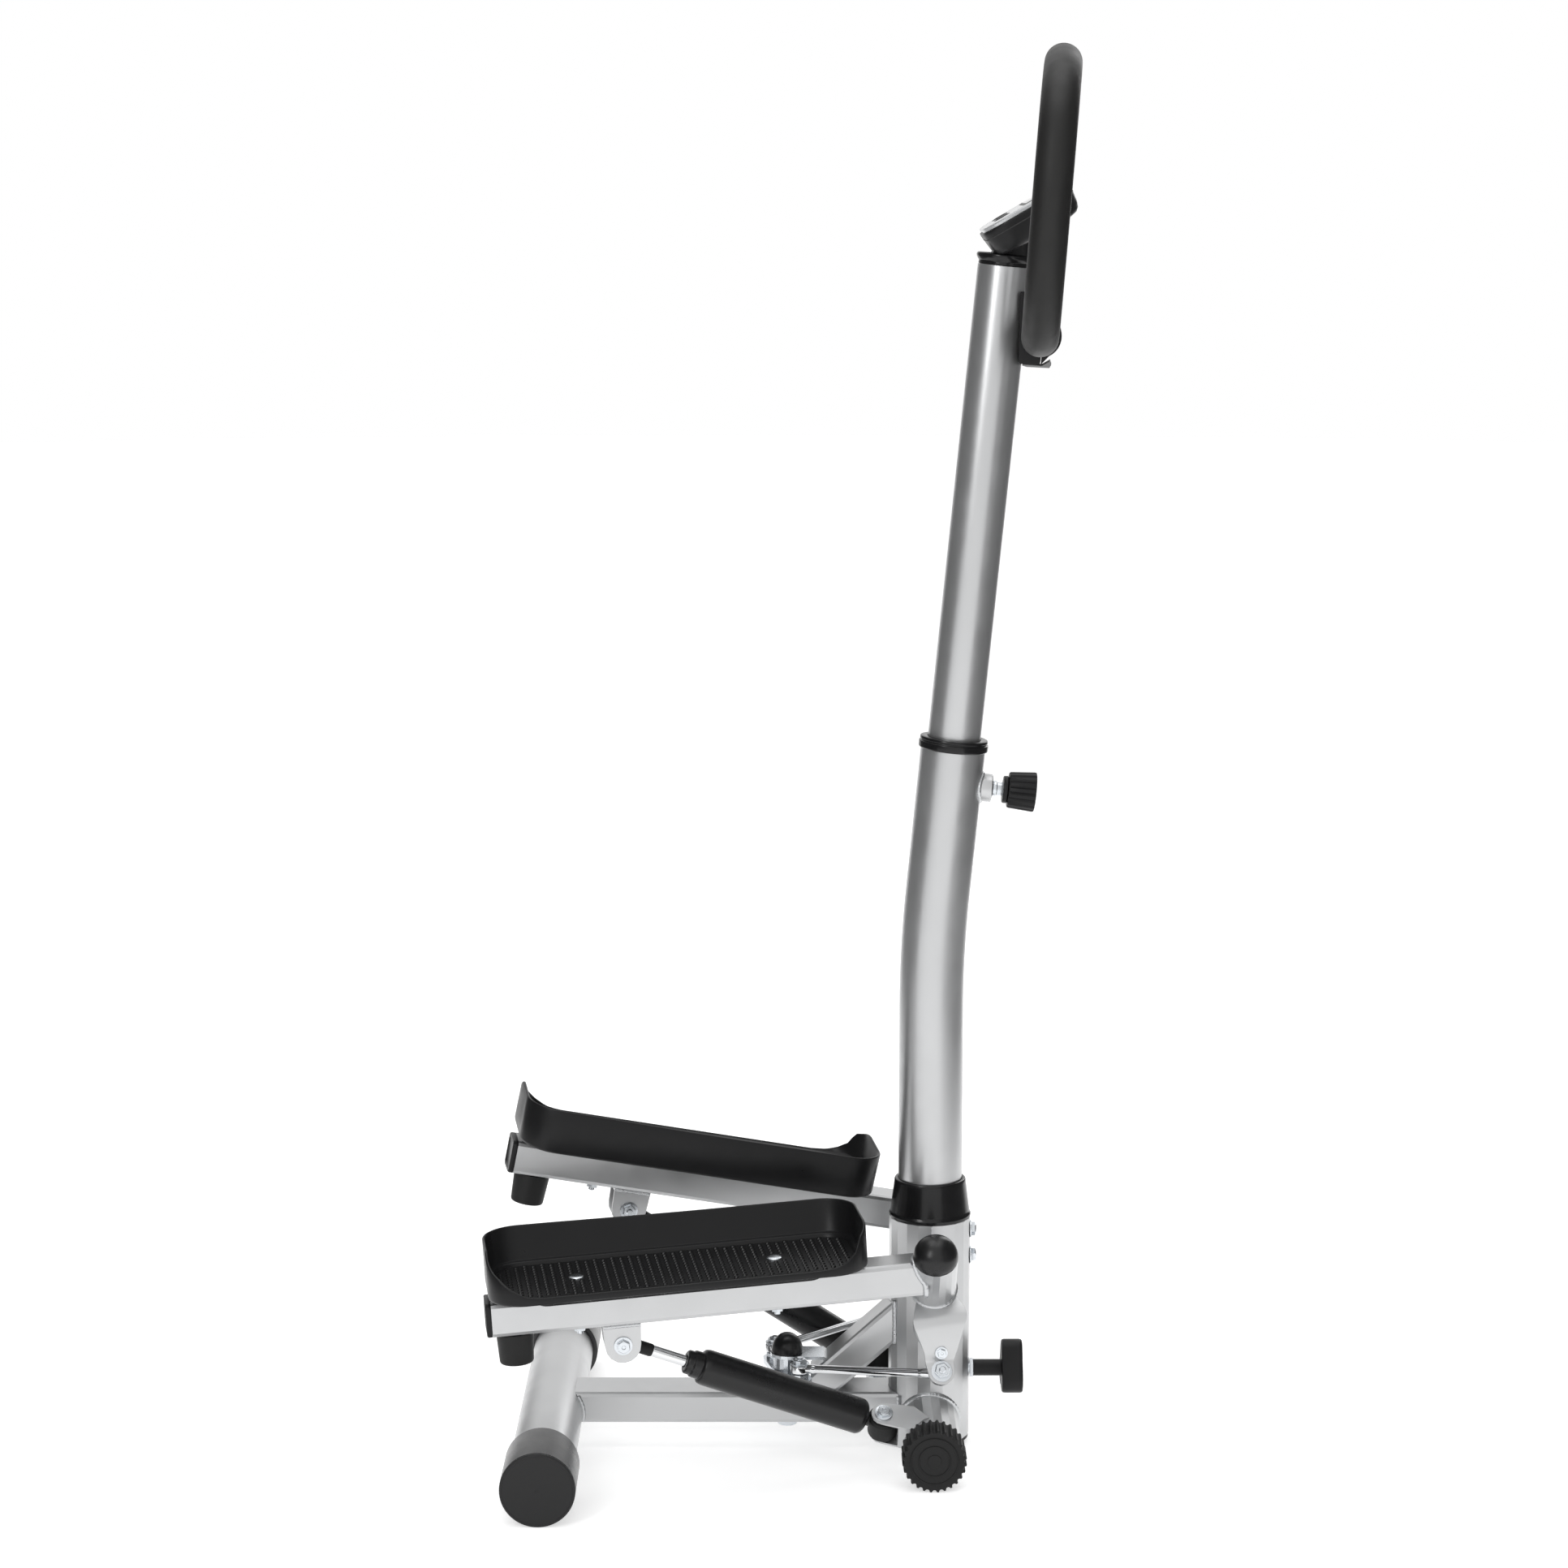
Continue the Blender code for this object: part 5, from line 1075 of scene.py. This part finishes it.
def build_bracket(side, label, pedal, body):
    """The bent plate under the sleeve: wide at its weld, waisted, then a round lug for the tie rod."""
    down = Vector((0, math.cos(PIVOT_TILT), -math.sin(PIVOT_TILT)))
    rim = Vector((0, math.sin(PIVOT_TILT), math.cos(PIVOT_TILT))) * (SLEEVE_LOW - 0.0024)
    lug_normal = Vector((0, math.cos(LUG_TILT), math.sin(LUG_TILT)))
    lug_down = Vector((0, math.sin(LUG_TILT), -math.cos(LUG_TILT)))
    lug = LUG + lug_normal * 0.010
    control = [
        (rim - down * 0.0040, 0.0150), (rim + down * 0.0120, 0.0195), (rim + down * 0.0245, 0.0240),
        (Vector((-0.0010, 0.0050, -0.0455)), 0.0250), (Vector((-0.0020, 0.0066, -0.0560)), 0.0215),
        (Vector((-0.0035, 0.0070, -0.0720)), 0.0160), (lug - lug_down * 0.0100, 0.0135), (lug, 0.0125)]
    stations = []
    for i in range(len(control) - 1):
        p0, w0 = control[max(i - 1, 0)]
        p1, w1 = control[i]
        p2, w2 = control[i + 1]
        p3, w3 = control[min(i + 2, len(control) - 1)]
        for k in range(5):
            t = k / 5
            f = [0.5 * (-t + 2 * t * t - t ** 3), 0.5 * (2 - 5 * t * t + 3 * t ** 3),
                 0.5 * (t + 4 * t * t - 3 * t ** 3), 0.5 * (-t * t + t ** 3)]
            point = p0 * f[0] + p1 * f[1] + p2 * f[2] + p3 * f[3]
            stations.append((point, w0 * f[0] + w1 * f[1] + w2 * f[2] + w3 * f[3]))
    for i in range(9):
        angle = math.pi / 2 * i / 8.6
        stations.append((lug + lug_down * 0.0125 * math.sin(angle), 0.0125 * math.cos(angle)))
    bm = bmesh.new()
    rows = []
    for i, (point, half_width) in enumerate(stations):
        after = stations[min(i + 1, len(stations) - 1)][0]
        before = stations[max(i - 1, 0)][0]
        tangent = after - before
        tangent.x = 0
        out = Vector((1, 0, 0)).cross(tangent).normalized() * 0.002
        row = []
        for sign, face in ((-1, 1), (-0.5, 1), (0, 1), (0.5, 1), (1, 1), (1, -1), (0.5, -1), (0, -1),
                           (-0.5, -1), (-1, -1)):
            q = point + out * face
            row.append(bm.verts.new((q.x + sign * half_width, side * q.y, q.z)))
        rows.append(row)
    add_solid(bm, rows)
    plate = shape("link_plate_" + label, bm, "silver", pedal, bevel=0.0007)
    piece(plate, body, "silver", "link_bracket_" + label)
    path = []
    upright = along((0, 0, 0), pivot_axis(side))
    for angle in full_turn(36):
        path.append(upright @ Vector((*polar(SLEEVE_RADIUS * 0.985, angle), SLEEVE_LOW - 0.0002)))
    weld("weld_bracket_" + label, path, pivot_axis(side), body, 0.0023, matrix=pedal)
    normal = Vector((0, side * lug_normal.y, lug_normal.z))
    centre = Vector((lug.x, side * lug.y, lug.z))
    hex_bolt("lug_bolt_" + label, pedal @ along(centre + normal * 0.0020, normal), body, 0.0074, 0.0056,
             0.0098, 0.0036, 0.1)
    bm = bmesh.new()
    add_lathe(bm, fillet([(0.0, -0.0150), (0.0028, -0.0150), (0.0032, -0.0140), (0.0032, -0.0015)], 0.0003),
              24)
    add_lathe(bm, [(0.0052, -0.0046), (0.0052, -0.0018)], 28)
    stub = shape("lug_pin_" + label, bm, "zinc", pedal @ along(centre, normal), sharp=50)
    piece(stub, body, "zinc")
    spot = Vector((-0.0035, side * 0.0092, -0.0745))
    hex_bolt("bracket_screw_" + label, pedal @ along(spot, (0, side, 0.04)), body, 0.0044, 0.0036, 0.0060,
             turn=0.6)


# ---------------------------------------------------------------- rocker link

def build_rocker():
    top = 0.0873
    dome = [(0.0150, top), (0.0151, top + 0.0012)]
    for i in range(1, 15):
        angle = math.pi / 2 * i / 14
        dome.append((0.0149 * math.cos(angle), top + 0.0016 + 0.0172 * math.sin(angle)))
    dome[-1] = (0, dome[-1][1])
    piece(lathe("rocker_dome", dome, "satin_black", Matrix.Translation((ROCKER_X, 0, 0)), 0.0003, 56),
          "base", "black_plastic", "rocker_cap")
    hex_bolt("rocker_bolt_head", along((ROCKER_X, 0, BEAM_BOTTOM - 0.0003), (0, 0, -1)), "base", 0.0092,
             0.0078, 0.0125)
    turn = Matrix.Translation((ROCKER_X, 0, 0)) @ Matrix.Rotation(ROCKER_TURN, 4, "Z")
    for side, label in SIDES:
        spot = turn @ Matrix.Translation((0, side * ROCKER_REACH, 0))
        hex_bolt("rocker_end_bolt_" + label, spot @ Matrix.Translation((0, 0, ROD_Z + 0.0046)), "rocker",
                 0.0066, 0.0048, 0.0090, 0.0016, turn=0.3)
        hex_bolt("rocker_end_nut_" + label, spot @ along((0, 0, 0.0662), (0, 0, -1)), "rocker",
                 0.0064, 0.0050, 0.0080, 0.0020, turn=0.1)


def build_tie_rods():
    for side, label in SIDES:
        reach = Matrix.Rotation(ROCKER_TURN, 4, "Z") @ Vector((0, side * ROCKER_REACH, 0))
        start = Vector((ROCKER_X, 0, ROD_Z)) + reach
        end = lug_point(side)
        direction = (end - start).normalized()
        length = (end - start).length
        profile = [(ROD_RADIUS, 0.0080), (ROD_RADIUS, 0.0140), (0.0040, 0.0175), (0.0040, length - 0.0215),
                   (ROD_RADIUS, length - 0.0180),
                   (0.0050, length - 0.0090)]
        rod = lathe("tie_rod_bar_" + label, profile, "chrome", along(start, direction), 0.0010, 40)
        body = "%s_tie_rod" % label
        piece(rod, body, "chrome", "tie_rod_" + label)
        eye = eye_profile(0.0043, 0.0092, 0.0043, 0.0014, 0.0013)
        piece(lathe("tie_rod_eye_" + label, eye, "chrome", Matrix.Translation(start), 0.0008, 40, ring=True),
              body, "chrome")
        axis = Matrix.Rotation(TURN[side], 3, pivot_axis(side)) @ Vector(
            (0, side * math.cos(LUG_TILT), math.sin(LUG_TILT)))
        eye = eye_profile(0.0070, 0.0108, 0.0040, 0.0014, 0.0014)
        piece(lathe("tie_rod_lug_eye_" + label, eye, "chrome", along(end, axis), 0.0008, 44, ring=True),
              body, "chrome")


# ---------------------------------------------------------------- cylinders

def build_cylinders():
    for side, label in SIDES:
        point = Vector((CYLINDER_PIVOT.x, side * CYLINDER_PIVOT.y, CYLINDER_PIVOT.z))
        hinge = Vector((CYLINDER_AXIS.x, side * CYLINDER_AXIS.y, CYLINDER_AXIS.z))
        clevis = clevis_point(side)
        direction = (clevis - point).normalized()
        body = "%s_cylinder" % label
        barrel = [
            (0.0066, 0.0060), (0.0066, 0.0180), (0.0125, 0.0192), (0.0152, 0.0212),
            (CYLINDER_RADIUS, 0.0245), (CYLINDER_RADIUS, 0.1795),
            (0.0160, 0.1836), (0.0140, 0.1850), (0.0126, 0.1852), (0.0126, 0.1925), (0.0118, 0.1932),
            (0.0112, 0.1940),
            (0.0112, 0.1985), (0.0096, 0.2000), (0.0062, 0.2000), (0.0058, 0.1990), (0.0058, 0.1300),
            (0.0, 0.1300)]
        skin = lathe("cylinder_barrel_" + label, barrel, "satin_black", along(point, direction), 0.0012, 64)
        piece(skin, body, "gloss_black", "cylinder_" + label)
        roller = eye_profile(0.0046, 0.0142, 0.0114, 0.0017, 0.0016)
        piece(lathe("cylinder_eye_" + label, roller, "rubber", along(point, hinge), 0.0010, 48, ring=True),
              body, "gloss_black")
        matrix = along(clevis, direction)
        rod = [(0.0, -PISTON_LENGTH), (0.0053, -PISTON_LENGTH), (0.0053, -0.0260), (0.0, -0.0260)]
        piston = "%s_piston" % label
        piece(lathe("piston_bar_" + label, rod, "chrome", matrix, 0.0003, 40), piston, "chrome",
              "piston_rod_" + label)
        end = [(0.0054, -0.0300), (0.0058, -0.0292), (0.0060, -0.0280), (0.0060, -0.0090), (0.0050, -0.0076)]
        piece(lathe("piston_end_" + label, end, "black_plastic", matrix, 0.0008, 40), piston, "chrome")
        across = pedal_frame(side).to_3x3() @ Vector((0, 1, 0))
        eye = eye_profile(0.0076, 0.0111, 0.0064, 0.0009, 0.0014)
        piece(lathe("piston_eye_" + label, eye, "black_plastic", along(clevis, across), 0.0006, 44,
                    ring=True),
              piston, "chrome")
        for end_sign in (-1, 1):
            spot = along(point + hinge * end_sign * 0.0160, hinge * end_sign)
            bolt = hex_bolt("cylinder_bolt_%s_%s" % (label, "outer" if end_sign > 0 else "inner"), spot,
                            "base",
                            0.0064, 0.0046, 0.0084, 0.0024 if end_sign < 0 else 0.0)
            if end_sign > 0:
                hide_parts("cylinder_bolt_" + label)
        pin("cylinder_pin_" + label, along(point, hinge), "base", 0.0160)


# ---------------------------------------------------------------- stage

def repaint(frame):
    """Give the CAD pieces that stay in sight the same finishes as the new ones."""
    for name in ("main_beam", "base_post", "front_tube_right", "front_tube_left", "support_strut",
                 "cylinder_bracket_right", "cylinder_bracket_left", "handlebar_tube", "pedal_arm_right",
                 "pedal_arm_left", "clevis_right", "clevis_left"):
        for slot in frame["nodes"][name].material_slots:
            slot.material = MATERIALS["silver"]
    for name in ("rocker_plate", "rocker_support_bar", "rocker_bolt"):
        for slot in frame["nodes"][name].material_slots:
            slot.material = MATERIALS["zinc"]


def build_stage():
    bm = bmesh.new()
    bm.faces.new([bm.verts.new((*polar(FLOOR_RADIUS, angle), 0)) for angle in full_turn(64)])
    mesh = bpy.data.meshes.new("floor")
    bm.to_mesh(mesh)
    bm.free()
    material, shader = principled("pale_floor", (0.80, 0.80, 0.80), 0.9)
    shader.inputs["Emission Color"].default_value = (1, 1, 1, 1)
    shader.inputs["Emission Strength"].default_value = 0.55
    mesh.materials.append(material)
    floor = bpy.data.objects.new("floor", mesh)
    bpy.context.scene.collection.objects.link(floor)

    world = bpy.data.worlds.new("studio")
    bpy.context.scene.world = world
    world.use_nodes = True
    tree = world.node_tree
    place = tree.nodes.new("ShaderNodeTexCoord")
    split = tree.nodes.new("ShaderNodeSeparateXYZ")
    tree.links.new(place.outputs["Generated"], split.inputs[0])
    across = tree.nodes.new("ShaderNodeMath")
    across.operation = "ABSOLUTE"
    tree.links.new(split.outputs["X"], across.inputs[0])
    shade = ramp(tree, across.outputs[0], (1.0, 1.0, 1.0), (0.10, 0.10, 0.105), 0.26, 0.80)
    background = tree.nodes["Background"]
    tree.links.new(shade, background.inputs["Color"])
    background.inputs["Strength"].default_value = 1.0

    for name, place, target, size, power in (
            ("key", (-1.6, -2.6, 2.3), (0, 0, 0.6), (0.7, 1.8), 26),
            ("fill", (2.2, -2.4, 1.5), (0, 0, 0.5), (0.6, 1.8), 11),
            ("top", (0.0, 0.2, 3.4), (0, 0, 0), (2.4, 2.0), 22),
            ("rim", (1.6, 2.6, 1.8), (0, 0, 0.6), (1.2, 1.8), 16)):
        data = bpy.data.lights.new(name, "AREA")
        data.shape = "RECTANGLE"
        data.size, data.size_y = size
        data.energy = power
        light = bpy.data.objects.new(name, data)
        light.location = place
        light.rotation_euler = (Vector(target) - Vector(place)).to_track_quat("-Z", "Y").to_euler()
        bpy.context.scene.collection.objects.link(light)

    # Two upright sheets that only reflections see: they put the dark edges on the tubes.
    low, high, far = 0.02, 2.4, 1.9
    for x, near in ((-FLAG_X, -0.9), (FLAG_X, -1.7)):
        bm = bmesh.new()
        bm.faces.new([bm.verts.new((x, y, z)) for y,
                      z in ((near, low), (far, low), (far, high), (near, high))])
        mesh = bpy.data.meshes.new("dark_flag")
        bm.to_mesh(mesh)
        bm.free()
        mesh.materials.append(principled("dark_flag", (0.11, 0.11, 0.11), 0.9)[0])
        flag = bpy.data.objects.new("dark_flag", mesh)
        flag.visible_camera = False
        flag.visible_diffuse = False
        flag.visible_shadow = False
        bpy.context.scene.collection.objects.link(flag)

    camera_data = bpy.data.cameras.new("photo_view")
    camera_data.sensor_width = 36.0
    camera_data.lens = 81.99
    camera_data.clip_end = 50
    camera = bpy.data.objects.new("photo_view", camera_data)
    camera.location = (-0.0008, -3.279, 1.186)
    camera.rotation_euler = (math.radians(80.5), 0, 0)
    bpy.context.scene.collection.objects.link(camera)
    bpy.context.scene.camera = camera
    bpy.context.scene.view_settings.view_transform = "Standard"


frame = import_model()
MATERIALS = make_materials()
repaint(frame)
build_rear_stabilizer()
build_front_caps()
build_base_welds()
build_post_details()
build_tension_knob()
build_mast()
build_console()
build_handlebar()
for side, label in SIDES:
    build_footplate(side, label)
    build_arm(side, label)
build_rocker()
build_tie_rods()
build_cylinders()
build_stage()
